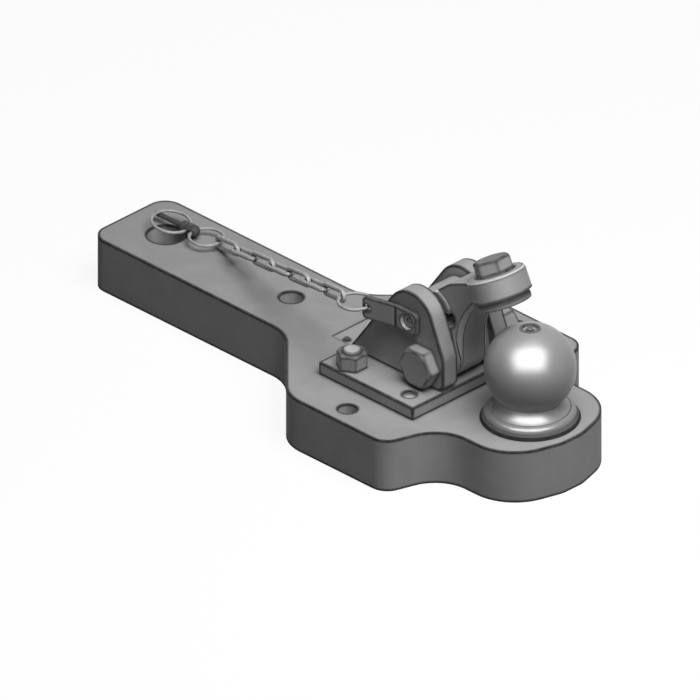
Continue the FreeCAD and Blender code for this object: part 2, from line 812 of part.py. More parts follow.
def link(start, along, flat):
    """A long link: two straight sides and two half rings. start is the near end's wire centre."""
    half = (chain_width - chain_wire) / 2
    length = chain_pitch + chain_wire
    normal = along.cross(flat)
    near = start + along * half
    far = start + along * (length - half)
    pieces = []
    for side in (-1, 1):
        section = octagon(near + flat * (side * half), flat, normal, chain_wire / 2)
        pieces.append(section.extrude(far - near))
    section = octagon(far + flat * half, flat, normal, chain_wire / 2)
    pieces.append(section.revolve(far, normal, -180))
    section = octagon(near + flat * half, flat, normal, chain_wire / 2)
    pieces.append(section.revolve(near, normal, 180))
    whole = pieces[0]
    return whole.fuse(pieces[1:]).removeSplitter()


def flat_way(yaw):
    """A level direction to the rear, turned towards the far side by yaw degrees."""
    angle = math.radians(yaw)
    return V(-math.cos(angle), math.sin(angle), 0)


ring_way = flat_way(-handle_ring_yaw)
hook = handle_hole()
chain_from = hook + ring_way * handle_ring_dia
step = chain_pitch - link_gap
chain_length = chain_count * chain_pitch - ring_wire - (chain_count + 1) * link_gap
drop = chain_from.z - top - lynch_height
dip = math.asin(drop / chain_length)
chain_way = flat_way(chain_yaw) * math.cos(dip) - V(0, 0, math.sin(dip))
chain_end = chain_from + chain_way * chain_length
first_start = chain_from - chain_way * ((ring_wire + chain_wire) / 2 + link_gap)
level = V(0, 0, 1).cross(chain_way).normalize()
lynch_ring_centre = chain_end + flat_way(lynch_ring_yaw) * (lynch_ring_dia / 2)
lynch_way = flat_way(lynch_yaw)
lynch_from = lynch_ring_centre + lynch_way * (lynch_ring_dia / 2)
snap_spot = lynch_from + lynch_way * snap_ring_on


def link_flat(index):
    """Direction across a link: the first link stands, the next lies level, and so on."""
    return chain_way.cross(level) if index % 2 == 0 else level


def link_start(index):
    return first_start + chain_way * (step * index)


def make_lynch_pin():
    """Barrel head with a domed end and two cross holes, and the thin rod."""
    radius = lynch_head_dia / 2
    head = cylinder(radius, lynch_head_length, lynch_from, lynch_way)
    dome = Part.makeSphere(radius, lynch_from)
    rod = cylinder(lynch_rod_dia / 2, lynch_rod_end, lynch_from, lynch_way)
    tip = Part.makeSphere(lynch_rod_dia / 2, lynch_from + lynch_way * lynch_rod_end)
    body = head.fuse([dome, rod, tip])
    holes = []
    for spot, wire, yaw in ((lynch_from, ring_wire, lynch_yaw), (snap_spot, snap_ring_wire, snap_ring_yaw)):
        across = flat_way(yaw).cross(V(0, 0, 1))
        holes.append(cylinder(wire / 2 + wire_hole_gap, 2 * lynch_head_dia,
                              spot - across * lynch_head_dia, across))
    return body.cut(holes)


def make_snap_ring():
    """Lies over the rod, so it rises from its hole to clear the rod's top."""
    clear = (lynch_rod_dia + snap_ring_wire) / 2 + running_gap
    rise = math.asin(clear / (snap_ring_dia * snap_ring_over))
    way = flat_way(snap_ring_yaw)
    out = way * math.cos(rise) + V(0, 0, math.sin(rise))
    up = out.cross(V(-way.y, way.x, 0))
    return ring(snap_spot + out * (snap_ring_dia / 2), out, up, snap_ring_dia, snap_ring_wire)


def main():
    os.makedirs("parts", exist_ok=True)
    export(make_drawbar(), "drawbar_plate")
    export(make_ball(), "coupling_ball")
    export(make_nipple(), "ball_grease_nipple")
    export(make_ball_washer(), "ball_washer")
    export(make_ball_bolt(), "ball_bolt")
    export(make_base_plate(), "base_plate")
    export(make_cheek(-1), "near_cheek")
    export(make_cheek(1), "far_cheek")
    export(make_studs(), "base_studs")
    export(make_stud_nuts(), "base_nuts")
    export(make_front_screws(), "front_screws")
    export(make_seat_pin(), "seat_pin")
    export(make_pivot_bolt(), "pivot_bolt")
    export(make_pivot_washer(), "pivot_washer")
    export(make_pivot_nut(), "pivot_nut")
    export(make_arm(), "keeper_arm")
    export(make_bushes(), "arm_bushes")
    export(make_shims(), "pad_shims")
    export(make_pad(), "hold_down_pad")
    export(make_pad_bolt(), "pad_bolt")
    export(make_spring_washer(), "pad_spring_washer")
    export(make_lock_pin(), "lock_pin")
    export(make_lock_clip(), "lock_clip")
    export(make_handle(), "lock_handle")
    export(ring(hook + ring_way * (handle_ring_dia / 2), ring_way, V(0, 0, 1),
                handle_ring_dia, ring_wire), "handle_ring")
    for index in range(chain_count):
        export(link(link_start(index), chain_way, link_flat(index)), "chain_link_" + str(index + 1))
    export(ring(lynch_ring_centre, lynch_way, V(0, 0, 1), lynch_ring_dia, ring_wire), "lynch_ring")
    export(make_lynch_pin(), "lynch_pin")
    export(make_snap_ring(), "snap_ring")


main()
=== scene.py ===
"""Looks of a ball coupling on a drawbar: steel finishes, broken edges, threads, chain, light and camera.

Lengths are in metres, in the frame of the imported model: +X runs along the bar to the ball, +Z is up.
"""

import json
import logging
import math
from dataclasses import dataclass, field
from enum import Enum, IntEnum
from typing import Any, Callable

import bmesh
import bpy
from mathutils import Matrix, Vector

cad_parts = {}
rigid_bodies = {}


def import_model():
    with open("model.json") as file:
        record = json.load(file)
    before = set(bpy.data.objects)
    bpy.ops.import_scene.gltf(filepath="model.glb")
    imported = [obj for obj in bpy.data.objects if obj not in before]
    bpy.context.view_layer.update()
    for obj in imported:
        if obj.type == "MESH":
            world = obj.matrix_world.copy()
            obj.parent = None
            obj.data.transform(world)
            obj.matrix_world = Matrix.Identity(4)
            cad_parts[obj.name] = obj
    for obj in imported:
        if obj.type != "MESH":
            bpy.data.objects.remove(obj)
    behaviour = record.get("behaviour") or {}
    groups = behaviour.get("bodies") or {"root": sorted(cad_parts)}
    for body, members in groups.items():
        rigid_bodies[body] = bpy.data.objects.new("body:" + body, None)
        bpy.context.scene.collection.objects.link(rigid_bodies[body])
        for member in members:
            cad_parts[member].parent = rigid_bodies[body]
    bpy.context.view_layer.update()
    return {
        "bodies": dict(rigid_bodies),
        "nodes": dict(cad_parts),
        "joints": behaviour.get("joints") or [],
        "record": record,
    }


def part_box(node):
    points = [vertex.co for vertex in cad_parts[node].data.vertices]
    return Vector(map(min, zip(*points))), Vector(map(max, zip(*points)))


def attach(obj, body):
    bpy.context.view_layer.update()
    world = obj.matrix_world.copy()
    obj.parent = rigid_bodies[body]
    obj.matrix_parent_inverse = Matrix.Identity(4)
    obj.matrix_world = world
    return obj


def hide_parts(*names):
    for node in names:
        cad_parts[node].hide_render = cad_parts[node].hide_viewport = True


LOG = logging.getLogger("coupling")
MM = 0.001
UP = Vector((0, 0, 1))
ACROSS = Vector((0, 1, 0))
ORIGIN = (0, 0, 0)
MERGE = 0.01 * MM  # vertices nearer than this become one
NEAR = 0.1 * MM  # two heights nearer than this are the same
FLAT_DEG = 0.5  # faces that meet at less than this become one
SHADE_SHARP_DEG = 35.0  # edges steeper than this are shaded sharp
BREAK_SHARP_DEG = 28.0  # edges steeper than this are rounded
BREAK_STEPS = 2  # faces across a rounding
LEVEL_FACE = 0.9  # upward share of a level face's normal, at the least
WAVE_PERIOD = 0.314  # a Wave texture's period at a scale of 1
THREAD_STEPS = 32  # faces in a turn
THREAD_SINK = 1.6  # from a thread's crest to its foot inside the shaft, in ridge depths
THREAD_SHARES = (0.05, 0.45, 0.55, 0.95)  # corners of the ridge's section, as shares of the pitch
WIRE_STEPS = 16  # faces round a wire
HOOP_STEPS = 72  # faces round a ring

Socket = bpy.types.NodeSocket
Shape = bmesh.types.BMesh
Point = tuple[float, float]
Triple = tuple[float, float, float]
Colour = tuple[float, float, float, float]


class Metal(Enum):
    """Finishes by the record's material slot."""

    BAR = "bar_plate"
    CARRIER = "carrier_plate"
    ARM = "arm_steel"
    HANDLE = "handle_steel"
    BALL = "ball_steel"
    PAD = "pad_steel"
    PIN = "pin_steel"
    SHIM = "shim_steel"
    ZINC = "bolt_zinc"
    RING = "ring_steel"
    CHAIN = "chain_steel"
    LYNCH = "lynch_steel"
    BRONZE = "bush_bronze"
    NIPPLE = "nipple_steel"


class ArmPart(IntEnum):
    """The arm's extra finishes, by their place in its materials; its steel is at 0."""

    SHOULDER = 1
    # RIDGE carries painted light and RIM a painted highlight.
    RIDGE = 2
    RIM = 3


class HandlePart(IntEnum):
    """The handle's extra finishes, by their place in its materials; its steel is at 0."""

    FOLD = 1
    # BORE carries light painted on the shaded wall of the pin's hole.
    BORE = 2


# Finishes


class Graph:
    """The node tree of a material or a world, with short calls to fill it."""

    def __init__(self, owner: bpy.types.Material | bpy.types.World) -> None:
        """Empty an owner's node tree.

        Args:
            owner: the new material or world.
        """
        self.owner = owner
        owner.use_nodes = True
        self.tree = owner.node_tree
        self.tree.nodes.clear()

    def add(self, kind: str, settings: dict[str, Any] | None = None, **inputs: Any) -> bpy.types.Node:
        """Add a node.

        Args:
            kind: the node's type without its ShaderNode prefix.
            settings: properties of the node itself.
            inputs: values by socket name, with underscores for spaces, or by number, as in i0; a socket
                that is given as a value is linked.

        Returns:
            The new node.
        """
        node = self.tree.nodes.new("ShaderNode" + kind)
        for key, value in (settings or {}).items():
            setattr(node, key, value)
        for key, value in inputs.items():
            numbered = key[0] == "i" and key[1:].isdigit()
            socket = node.inputs[int(key[1:]) if numbered else key.replace("_", " ")]
            if isinstance(value, Socket):
                self.tree.links.new(value, socket)
            else:
                socket.default_value = value
        return node

    def math(self, operation: str, a: Socket | float, b: Socket | float = 0.0,
             clamp: bool = False) -> Socket:
        """One arithmetic step; returns its output socket."""
        return self.add("Math", {"operation": operation, "use_clamp": clamp}, i0=a, i1=b).outputs[0]

    def spread(self, value: Socket, given: Point, wanted: Point) -> Socket:
        """Map one range of values on another and clamp it; returns the output socket."""
        node = self.add("MapRange", {"clamp": True}, Value=value, From_Min=given[0], From_Max=given[1],
                        To_Min=wanted[0], To_Max=wanted[1])
        return node.outputs["Result"]

    def noise(self, where: Socket, size: float, detail: float, distortion: float = 0.0) -> Socket:
        """Noise with features of a size in metres; returns its factor socket."""
        node = self.add("TexNoise", {"noise_dimensions": "3D"}, Vector=where, Scale=1 / size,
                        Detail=detail, Distortion=distortion)
        return node.outputs["Fac"]

    def mapped(self, where: Socket, **inputs: Triple) -> Socket:
        """Move, turn or stretch a place; returns the vector socket."""
        return self.add("Mapping", {"vector_type": "POINT"}, Vector=where, **inputs).outputs[0]

    def blend(self, share: Socket, first: Socket | Colour, second: Socket | Colour) -> Socket:
        """Mix two colours; returns the colour socket."""
        return self.add("Mix", {"data_type": "RGBA"}, i0=share, i6=first, i7=second).outputs[2]


def grey(level: float, tint: Triple = (1.0, 1.0, 1.0)) -> Colour:
    """A linear colour of one level and a slight tint."""
    return (level * tint[0], level * tint[1], level * tint[2], 1.0)


@dataclass(frozen=True)
class Finish:
    """A metal surface: slow mottling, fine grain, handling marks, dull edges and painted shade in the
    corners.

    Attributes:
        level: its grey, as linear light.
        tint: what its grey is multiplied by.
        metallic: share of bare metal.
        roughness: of the shader; it swings by rough_swing with the clouds.
        specular: the shader's specular level.
        mottle: how far clouds of mottle_size darken and lighten it.
        clouds: noise that counts as the darkest and the lightest cloud.
        cloud_warp: how much the clouds are drawn about.
        grain_size: of the bump, which is grain_height deep.
        scratches: how strongly the handling marks show.
        scratch_size: of the noise that draws them, where it lies in scratch_range.
        scratch_turn: the marks' direction, as turns about the axes.
        scratch_stretch: how the noise is drawn out into marks.
        scratch_lift: how much lighter than the ground they are.
        edge_width: reach of the dull edges.
        edge_flat: openness of the metal inside from which a point is on a flat.
        edge_steep: openness under which it is on an edge.
        edge_share: how strongly the edges show, in edge_level.
        edge_rays: rays that look for an edge.
        patch_size: of the noise that breaks them up, over patch_range.
        patch_least: what is left of them where it is lowest.
        grime_reach: reach of the painted shade in corners and between parts.
        grime: how strongly it shows, in grime_level.
        grime_range: openness to the sky from full shade to none.
        grime_rays: rays that look for the sky.
        dirt_rough: roughness that dull edges and the painted shade add.
    """

    level: float
    tint: Triple = (1.0, 1.0, 1.0)
    metallic: float = 0.0
    roughness: float = 0.5
    rough_swing: float = 0.06
    specular: float = 0.3
    mottle: float = 0.06
    mottle_size: float = 30 * MM
    clouds: Point = (0.3, 0.7)
    cloud_warp: float = 0.6
    grain_size: float = 0.9 * MM
    grain_height: float = 0.03 * MM
    scratches: float = 0.15
    scratch_size: float = 16 * MM
    scratch_range: Point = (0.62, 0.68)
    scratch_turn: Triple = (0.3, 0.5, 0.7)
    scratch_stretch: Triple = (1.0, 14.0, 5.0)
    scratch_lift: float = 1.2
    edge_width: float = 3.2 * MM
    edge_flat: float = 0.95
    edge_steep: float = 0.80
    edge_share: float = 0.95
    edge_level: float = 0.02
    edge_rays: int = 8
    patch_size: float = 6 * MM
    patch_range: Point = (0.25, 0.6)
    patch_least: float = 0.85
    grime_reach: float = 5 * MM
    grime: float = 0.75
    grime_level: float = 0.03
    grime_range: Point = (0.35, 0.85)
    grime_rays: int = 6
    dirt_rough: float = 0.4

    def height(self, graph: Graph, where: Socket) -> Socket:
        """Surface height as a share of grain_height."""
        return graph.noise(where, self.grain_size, detail=4)

    def clouded(self, graph: Graph, cloudy: Socket, level: float) -> Socket:
        """A level that the clouds darken and lighten."""
        return graph.blend(cloudy, grey(level * (1 - self.mottle), self.tint),
                           grey(level * (1 + self.mottle), self.tint))

    def base(self, graph: Graph, cloudy: Socket) -> Socket:
        """The clean surface's colour, between its dark and light clouds."""
        return self.clouded(graph, cloudy, self.level)

    def edge(self, graph: Graph, where: Socket) -> Socket:
        """How near an edge a point lies: rays into the metal soon leave it there.

        Args:
            graph: the material's nodes.
            where: the point, for patterns that need it; not used here.

        Returns:
            From 0 on a flat to 1 on an edge.
        """
        rays = {"samples": self.edge_rays, "inside": True, "only_local": True}
        inside = graph.add("AmbientOcclusion", rays, Distance=self.edge_width).outputs["AO"]
        return graph.spread(inside, (self.edge_steep, self.edge_flat), (1.0, 0.0))

    def scratched(self, graph: Graph, where: Socket, colour: Socket) -> Socket:
        """Draw the handling marks.

        Args:
            graph: the material's nodes.
            where: the point.
            colour: what they are drawn on.

        Returns:
            The colour with the marks.
        """
        stretched = graph.mapped(where, Rotation=self.scratch_turn, Scale=self.scratch_stretch)
        lines = graph.noise(stretched, self.scratch_size, detail=6)
        scratch = graph.spread(lines, self.scratch_range, (0.0, self.scratches))
        return graph.blend(scratch, colour, grey(self.level * self.scratch_lift, self.tint))

    def dulled(self, graph: Graph, where: Socket) -> Socket:
        """Break the edges up in patches.

        Args:
            graph: the material's nodes.
            where: the point.

        Returns:
            How dull it is.
        """
        noise = graph.noise(where, self.patch_size, detail=3)
        patchy = graph.spread(noise, self.patch_range, (self.patch_least, 1.0))
        near = graph.math("MULTIPLY", self.edge(graph, where), patchy)
        return graph.math("MULTIPLY", near, self.edge_share, clamp=True)

    def build(self, name: str) -> bpy.types.Material:
        """Make the material.

        Args:
            name: its name.

        Returns:
            The material.
        """
        graph = Graph(bpy.data.materials.new(name))
        where = graph.add("TexCoord").outputs["Object"]
        slow = graph.noise(where, self.mottle_size, detail=5, distortion=self.cloud_warp)
        colour = self.base(graph, graph.spread(slow, self.clouds, (0.0, 1.0)))
        colour = self.scratched(graph, where, colour)
        dull = self.dulled(graph, where)
        colour = graph.blend(dull, colour, grey(self.edge_level))
        # Painted shade: ambient occlusion darkens corners, creases and the gaps between parts, where shade
        # falls.
        rays = {"samples": self.grime_rays}
        open_sky = graph.add("AmbientOcclusion", rays, Distance=self.grime_reach).outputs["AO"]
        hidden = graph.spread(open_sky, self.grime_range, (self.grime, 0.0))
        colour = graph.blend(hidden, colour, grey(self.grime_level))

        swing = (self.roughness - self.rough_swing, self.roughness + self.rough_swing)
        # Roughness rises on the dull edges and where shade is painted.
        dirt = graph.math("MULTIPLY", graph.math("MAXIMUM", hidden, dull), self.dirt_rough)
        rough = graph.math("ADD", graph.spread(slow, self.clouds, swing), dirt, clamp=True)
        bump = graph.add("Bump", None, Strength=1.0, Distance=self.grain_height,
                         Height=self.height(graph, where))
        shader = graph.add("BsdfPrincipled", None, Base_Color=colour, Metallic=self.metallic,
                           Roughness=rough, Specular_IOR_Level=self.specular, Normal=bump.outputs[0])
        graph.add("OutputMaterial", None, Surface=shader.outputs[0])
        return graph.owner


@dataclass(frozen=True)
class CutPlate(Finish):
    """Flame-cut plate: its upright walls get a grey of their own, which paints the light and shade that
    falls on them, and fine drag lines from the torch.

    Attributes:
        wall_level: the walls' grey, set apart from the level faces' grey to paint the light and shade on the
            walls.
        wall_slope: upward share of a face's normal, from wall to level face.
        line_pitch: of the drag lines.
        line_depth: theirs, in grain heights.
        line_squeeze: how much the noise's height is squeezed, which draws it out into lines.
    """

    wall_level: float = 0.22
    wall_slope: Point = (0.3, 0.7)
    line_pitch: float = 1.4 * MM
    line_depth: float = 5.0
    line_squeeze: float = 0.05

    def wall(self, graph: Graph) -> Socket:
        """1 on upright walls and 0 on level faces."""
        face = graph.add("SeparateXYZ", None, Vector=graph.add("TexCoord").outputs["Normal"])
        return graph.spread(graph.math("ABSOLUTE", face.outputs["Z"]), self.wall_slope, (1.0, 0.0))

    def base(self, graph: Graph, cloudy: Socket) -> Socket:
        """The level face's colour, and the walls' grey, which paints the light and shade on them."""
        face = super().base(graph, cloudy)
        return graph.blend(self.wall(graph), face, self.clouded(graph, cloudy, self.wall_level))

    def height(self, graph: Graph, where: Socket) -> Socket:
        """Grain everywhere, and upright lines on the walls only.

        Args:
            graph: the material's nodes.
            where: the point.

        Returns:
            Its height, in grain heights.
        """
        grain = graph.noise(where, self.grain_size, detail=4)
        drawn = graph.mapped(where, Scale=(1.0, 1.0, self.line_squeeze))
        lines = graph.noise(drawn, self.line_pitch, detail=2)
        depth = graph.math("MULTIPLY", self.wall(graph), self.line_depth)
        return graph.math("ADD", grain, graph.math("MULTIPLY", lines, depth))


@dataclass(frozen=True)
class Milled(Finish):
    """A face-milled seat: bright, with the cutter's arcs across it.

    Attributes:
        centre: middle of the arcs, as (x, y).
        arc_pitch: from arc to arc.
        arc_depth: their depth, in grain heights.
        arc_warp: how uneven they are.
    """

    centre: Point = (0.0, 0.0)
    arc_pitch: float = 1.2 * MM
    arc_depth: float = 1.5
    arc_warp: float = 0.4

    def height(self, graph: Graph, where: Socket) -> Socket:
        """Fine grain, and arcs round a centre beside the seat.

        Args:
            graph: the material's nodes.
            where: the point.

        Returns:
            Its height, in grain heights.
        """
        moved = graph.mapped(where, Location=(-self.centre[0], -self.centre[1], 0.0), Scale=(1.0, 1.0, 0.0))
        wave = graph.add("TexWave", {"wave_type": "RINGS", "rings_direction": "SPHERICAL"}, Vector=moved,
                         Scale=WAVE_PERIOD / self.arc_pitch, Distortion=self.arc_warp, Detail=1.0)
        grain = graph.noise(where, self.grain_size, detail=3)
        return graph.math("ADD", grain, graph.math("MULTIPLY", wave.outputs["Fac"], self.arc_depth))


@dataclass(frozen=True)
class Turned(Finish):
    """Turned or ground metal: faint rings round an upright axis.

    Attributes:
        centre: where the axis stands, as (x, y).
        ring_pitch: size of the rings.
        ring_depth: theirs, in grain heights.
        creases: (radius, height) of the turned creases.
        crease_core: half the width of a crease's dark line.
        crease_reach: where the line has faded.
    """

    centre: Point = (0.0, 0.0)
    ring_pitch: float = 0.8 * MM
    ring_depth: float = 1.5
    creases: tuple[Point, ...] = ()
    crease_core: float = 0.35 * MM
    crease_reach: float = 0.9 * MM

    def section(self, graph: Graph, where: Socket) -> Socket:
        """Lay every point in one plane through the axis.

        Args:
            graph: the material's nodes.
            where: the point.

        Returns:
            Its distance from the axis as X, and its height as Z.
        """
        moved = graph.mapped(where, Location=(-self.centre[0], -self.centre[1], 0.0))
        parts = graph.add("SeparateXYZ", None, Vector=moved)
        flat = graph.add("CombineXYZ", None, X=parts.outputs["X"], Y=parts.outputs["Y"])
        reach = graph.add("VectorMath", {"operation": "LENGTH"}, i0=flat.outputs[0])
        return graph.add("CombineXYZ", None, X=reach.outputs["Value"], Z=parts.outputs["Z"]).outputs[0]

    def height(self, graph: Graph, where: Socket) -> Socket:
        """Grain, and rings that depend only on height and distance from the axis."""
        grain = graph.noise(where, self.grain_size, detail=3)
        rings = graph.noise(self.section(graph, where), self.ring_pitch, detail=2)
        return graph.math("ADD", grain, graph.math("MULTIPLY", rings, self.ring_depth))

    def edge(self, graph: Graph, where: Socket) -> Socket:
        """The edges of any piece, and dark lines in the turned creases.

        Args:
            graph: the material's nodes.
            where: the point.

        Returns:
            From 0 on a flat to 1 on an edge or in a crease.
        """
        near = super().edge(graph, where)
        place = self.section(graph, where)
        for radius, height in self.creases:
            away = graph.add("VectorMath", {"operation": "DISTANCE"}, i0=place, i1=(radius, 0.0, height))
            line = graph.spread(away.outputs["Value"], (self.crease_core, self.crease_reach), (1.0, 0.0))
            near = graph.math("MAXIMUM", near, line)
        return near


def finishes(centre: Vector, creases: tuple[Point, ...]) -> dict[Metal, bpy.types.Material]:
    """Make one material for each slot.

    Args:
        centre: centre of the coupling ball, for its turning rings.
        creases: (radius, height) of each crease turned round the ball's axis.

    Returns:
        The materials by slot.
    """
    made = {
        # The walls' greys are painted light: lighter than the top on the bar, darker than the top on the
        # carrier.
        Metal.BAR: CutPlate(level=0.365, wall_level=0.46, roughness=0.65, specular=0.04),
        Metal.CARRIER: CutPlate(level=0.375, wall_level=0.33, roughness=0.62, specular=0.05, line_depth=1.5),
        Metal.ARM: Finish(level=0.32, roughness=0.55, specular=0.15, grain_size=1.6 * MM,
                          grain_height=0.06 * MM),
        Metal.HANDLE: Finish(level=0.32, roughness=0.55, specular=0.12),
        Metal.BALL: Turned(level=0.30, roughness=0.38, rough_swing=0.02, mottle=0.03, specular=0.3,
                           scratches=0.0, edge_width=2.4 * MM, edge_flat=0.99, edge_steep=0.90, grime=0.6,
                           grain_height=0.006 * MM, centre=(centre.x, centre.y), creases=creases),
        Metal.PAD: Finish(level=0.32, roughness=0.5, specular=0.2),
        Metal.PIN: Finish(level=0.30, metallic=0.1, roughness=0.5, specular=0.2, mottle=0.05,
                          grain_height=0.01 * MM),
        Metal.SHIM: Finish(level=0.28, metallic=0.2, roughness=0.45, specular=0.15, mottle=0.05,
                           grain_height=0.01 * MM),
        Metal.ZINC: Finish(level=0.33, roughness=0.5, specular=0.12, mottle=0.05, mottle_size=6 * MM,
                           grain_height=0.012 * MM, scratches=0.05),
        Metal.RING: Finish(level=0.42, roughness=0.45, specular=0.1, mottle=0.08, mottle_size=5 * MM,
                           grain_height=0.01 * MM, scratches=0.05, edge_share=0.0, grime_reach=3 * MM),
        Metal.CHAIN: Finish(level=0.47, roughness=0.45, specular=0.12, mottle=0.10, mottle_size=5 * MM,
                            grain_height=0.02 * MM, scratches=0.05, edge_share=0.0, grime_reach=3 * MM),
        Metal.LYNCH: Finish(level=0.08, roughness=0.5, specular=0.15, mottle=0.1, mottle_size=5 * MM),
        Metal.BRONZE: Finish(level=0.45, tint=(1.0, 0.80, 0.52), metallic=0.9, roughness=0.34),
        Metal.NIPPLE: Finish(level=0.32, metallic=0.3, roughness=0.38, grime_reach=2 * MM),
    }
    return {metal: finish.build(metal.value) for metal, finish in made.items()}


def scale_line(name: str) -> bpy.types.Material:
    """The dark line of scale and dirt along a fold or a shoulder."""
    return Finish(level=0.03, roughness=0.8, specular=0.05, edge_share=0.0).build(name)


def bared(name: str, level: float = 0.5, specular: float = 0.5) -> bpy.types.Material:
    """A pale finish without painted corner shade, which paints light and highlights on the faces that get
    it.
    """
    return Finish(level=level, roughness=0.4, specular=specular, mottle=0.04, grain_height=0.01 * MM,
                  edge_share=0.4, grime=0.0).build(name)


def repaint(piece: bpy.types.Object, material: bpy.types.Material,
            chosen: Callable[[bpy.types.MeshPolygon], bool]) -> None:
    """Give some faces of a finished piece another material.

    Args:
        piece: the piece.
        material: what they get.
        chosen: says of a face whether it gets it.
    """
    piece.data.materials.append(material)
    index = len(piece.data.materials) - 1
    for face in piece.data.polygons:
        if chosen(face):
            face.material_index = index


# Making and placing pieces


@dataclass
class Bench:
    """Holds the frame and the finishes, and sets finished pieces on their bodies.

    Attributes:
        materials: the finishes by slot.
        made: names of the pieces so far.
    """

    frame: dict[str, Any]
    materials: dict[Metal, bpy.types.Material]
    made: list[str] = field(default_factory=list)

    def body_of(self, node: str) -> str:
        """The body that a CAD node belongs to."""
        groups = self.frame["record"]["behaviour"]["bodies"]
        return next(body for body, nodes in groups.items() if node in nodes)

    def joint(self, name: str) -> tuple[Vector, Vector]:
        """A joint's place and axis at rest."""
        found = next(joint for joint in self.frame["joints"] if joint["name"] == name)
        return Vector(found["pos_m"]), Vector(found["axis"]).normalized()

    def centre(self, node: str) -> Vector:
        """The middle of a CAD node's box."""
        low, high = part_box(node)
        return (low + high) / 2

    def place(self, shape: Shape, name: str, metal: Metal, body: str,
              nodes: tuple[str, ...] = ()) -> bpy.types.Object:
        """Turn a finished bmesh into a piece on its body.

        Args:
            shape: the mesh, in its place; it is freed here.
            name: the piece's name.
            metal: its finish.
            body: the body that it rides on.
            nodes: CAD nodes that it stands for.

        Returns:
            The piece.
        """
        mesh = bpy.data.meshes.new(name)
        shape.to_mesh(mesh)
        shape.free()
        mesh.shade_smooth()
        mesh.set_sharp_from_angle(angle=math.radians(SHADE_SHARP_DEG))
        mesh.materials.append(self.materials[metal])
        piece = bpy.data.objects.new(name, mesh)
        bpy.context.scene.collection.objects.link(piece)
        weighted = piece.modifiers.new("even shading", "WEIGHTED_NORMAL")
        weighted.keep_sharp = True
        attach(piece, body)
        if nodes:
            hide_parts(*nodes)
        self.made.append(name)
        LOG.info("%s: %d faces, on %s", name, len(mesh.polygons), body)
        return piece

    def rounded(self, node: str, metal: Metal, edge: float,
                work: Callable[[Shape], None] | None = None) -> bpy.types.Object:
        """A CAD node's shape with its edges broken, standing for the node.

        Args:
            node: the CAD node.
            metal: its finish.
            edge: size of the rounding.
            work: what else is done to the shape, before its edges are broken.

        Returns:
            The piece.
        """
        shape = bmesh.new()
        shape.from_mesh(self.frame["nodes"][node].data)
        bmesh.ops.remove_doubles(shape, verts=shape.verts, dist=MERGE)
        bmesh.ops.dissolve_limit(shape, angle_limit=math.radians(FLAT_DEG), verts=shape.verts,
                                 edges=shape.edges)
        if work is not None:
            work(shape)
        limit = math.radians(BREAK_SHARP_DEG)
        folded = [side for side in shape.edges if len(side.link_faces) == 2]
        steep = [side for side in folded if side.calc_face_angle(0) > limit]
        bmesh.ops.bevel(shape, geom=steep, offset=edge, offset_type="OFFSET", segments=BREAK_STEPS,
                        profile=0.5, affect="EDGES", clamp_overlap=True, material=-1)
        return self.place(shape, node + "_dressed", metal, self.body_of(node), (node,))


def ball_centre(frame: dict[str, Any]) -> Vector:
    """Centre of the coupling ball, from its mount."""
    mounts = frame["record"]["mounts"]
    return Vector(next(mount["pos_m"] for mount in mounts if mount["name"] == "coupling_ball"))


def close_up(shape: Shape) -> None:
    """Merge a new shape's doubled vertices and point its faces outwards."""
    bmesh.ops.remove_doubles(shape, verts=shape.verts, dist=MERGE)
    bmesh.ops.recalc_face_normals(shape, faces=shape.faces)


def stand(shape: Shape, origin: Vector, axis: Vector) -> None:
    """Put a shape that was made round local Z on an origin, along an axis."""
    turn = UP.rotation_difference(axis.normalized()).to_matrix().to_4x4()
    shape.transform(Matrix.Translation(origin) @ turn)


def turn_verts(shape: Shape, verts: list[bmesh.types.BMVert], spot: Vector, axis: Vector,
               degrees: float) -> None:
    """Turn vertices round an axis through a spot."""
    bmesh.ops.rotate(shape, cent=spot, matrix=Matrix.Rotation(math.radians(degrees), 3, axis), verts=verts)


def verts_of(geom: list[Any]) -> list[bmesh.types.BMVert]:
    """The vertices among what an operator made."""
    return [part for part in geom if isinstance(part, bmesh.types.BMVert)]


def middle_of(verts: list[bmesh.types.BMVert]) -> Vector:
    """The mean place of vertices."""
    return sum((vert.co for vert in verts), Vector()) / len(verts)


def frame_of(origin: Vector, along: Vector, across: Vector) -> Matrix:
    """A matrix that takes local X to along and local Z to their normal, at origin.

    Args:
        origin: where the local origin goes.
        along: where local X goes.
        across: another direction in the local XY plane.

    Returns:
        The matrix.
    """
    x = along.normalized()
    z = x.cross(across).normalized()
    y = z.cross(x)
    turn = Matrix((x, y, z)).transposed().to_4x4()
    return Matrix.Translation(origin) @ turn


def arc(centre: Point, radius: float, start: float, end: float, steps: int) -> list[Point]:
    """Points of a profile's arc, angles in degrees."""
    angles = [math.radians(start + (end - start) * i / steps) for i in range(steps + 1)]
    return [(centre[0] + radius * math.cos(a), centre[1] + radius * math.sin(a)) for a in angles]


def lathe(profile: list[Point], origin: Vector, axis: Vector, steps: int) -> Shape:
    """Spin a profile round an axis.

    Args:
        profile: (radius, height) points, from the axis and back to it.
        origin: the axis's foot.
        axis: its direction.
        steps: faces round.

    Returns:
        The solid.
    """
    shape = bmesh.new()
    verts = [shape.verts.new((radius, 0, height)) for radius, height in profile]
    edges = [shape.edges.new(pair) for pair in zip(verts, verts[1:])]
    bmesh.ops.spin(shape, geom=verts + edges, cent=ORIGIN, axis=UP, angle=math.tau, steps=steps,
                   use_merge=True)
    close_up(shape)
    stand(shape, origin, axis)
    return shape


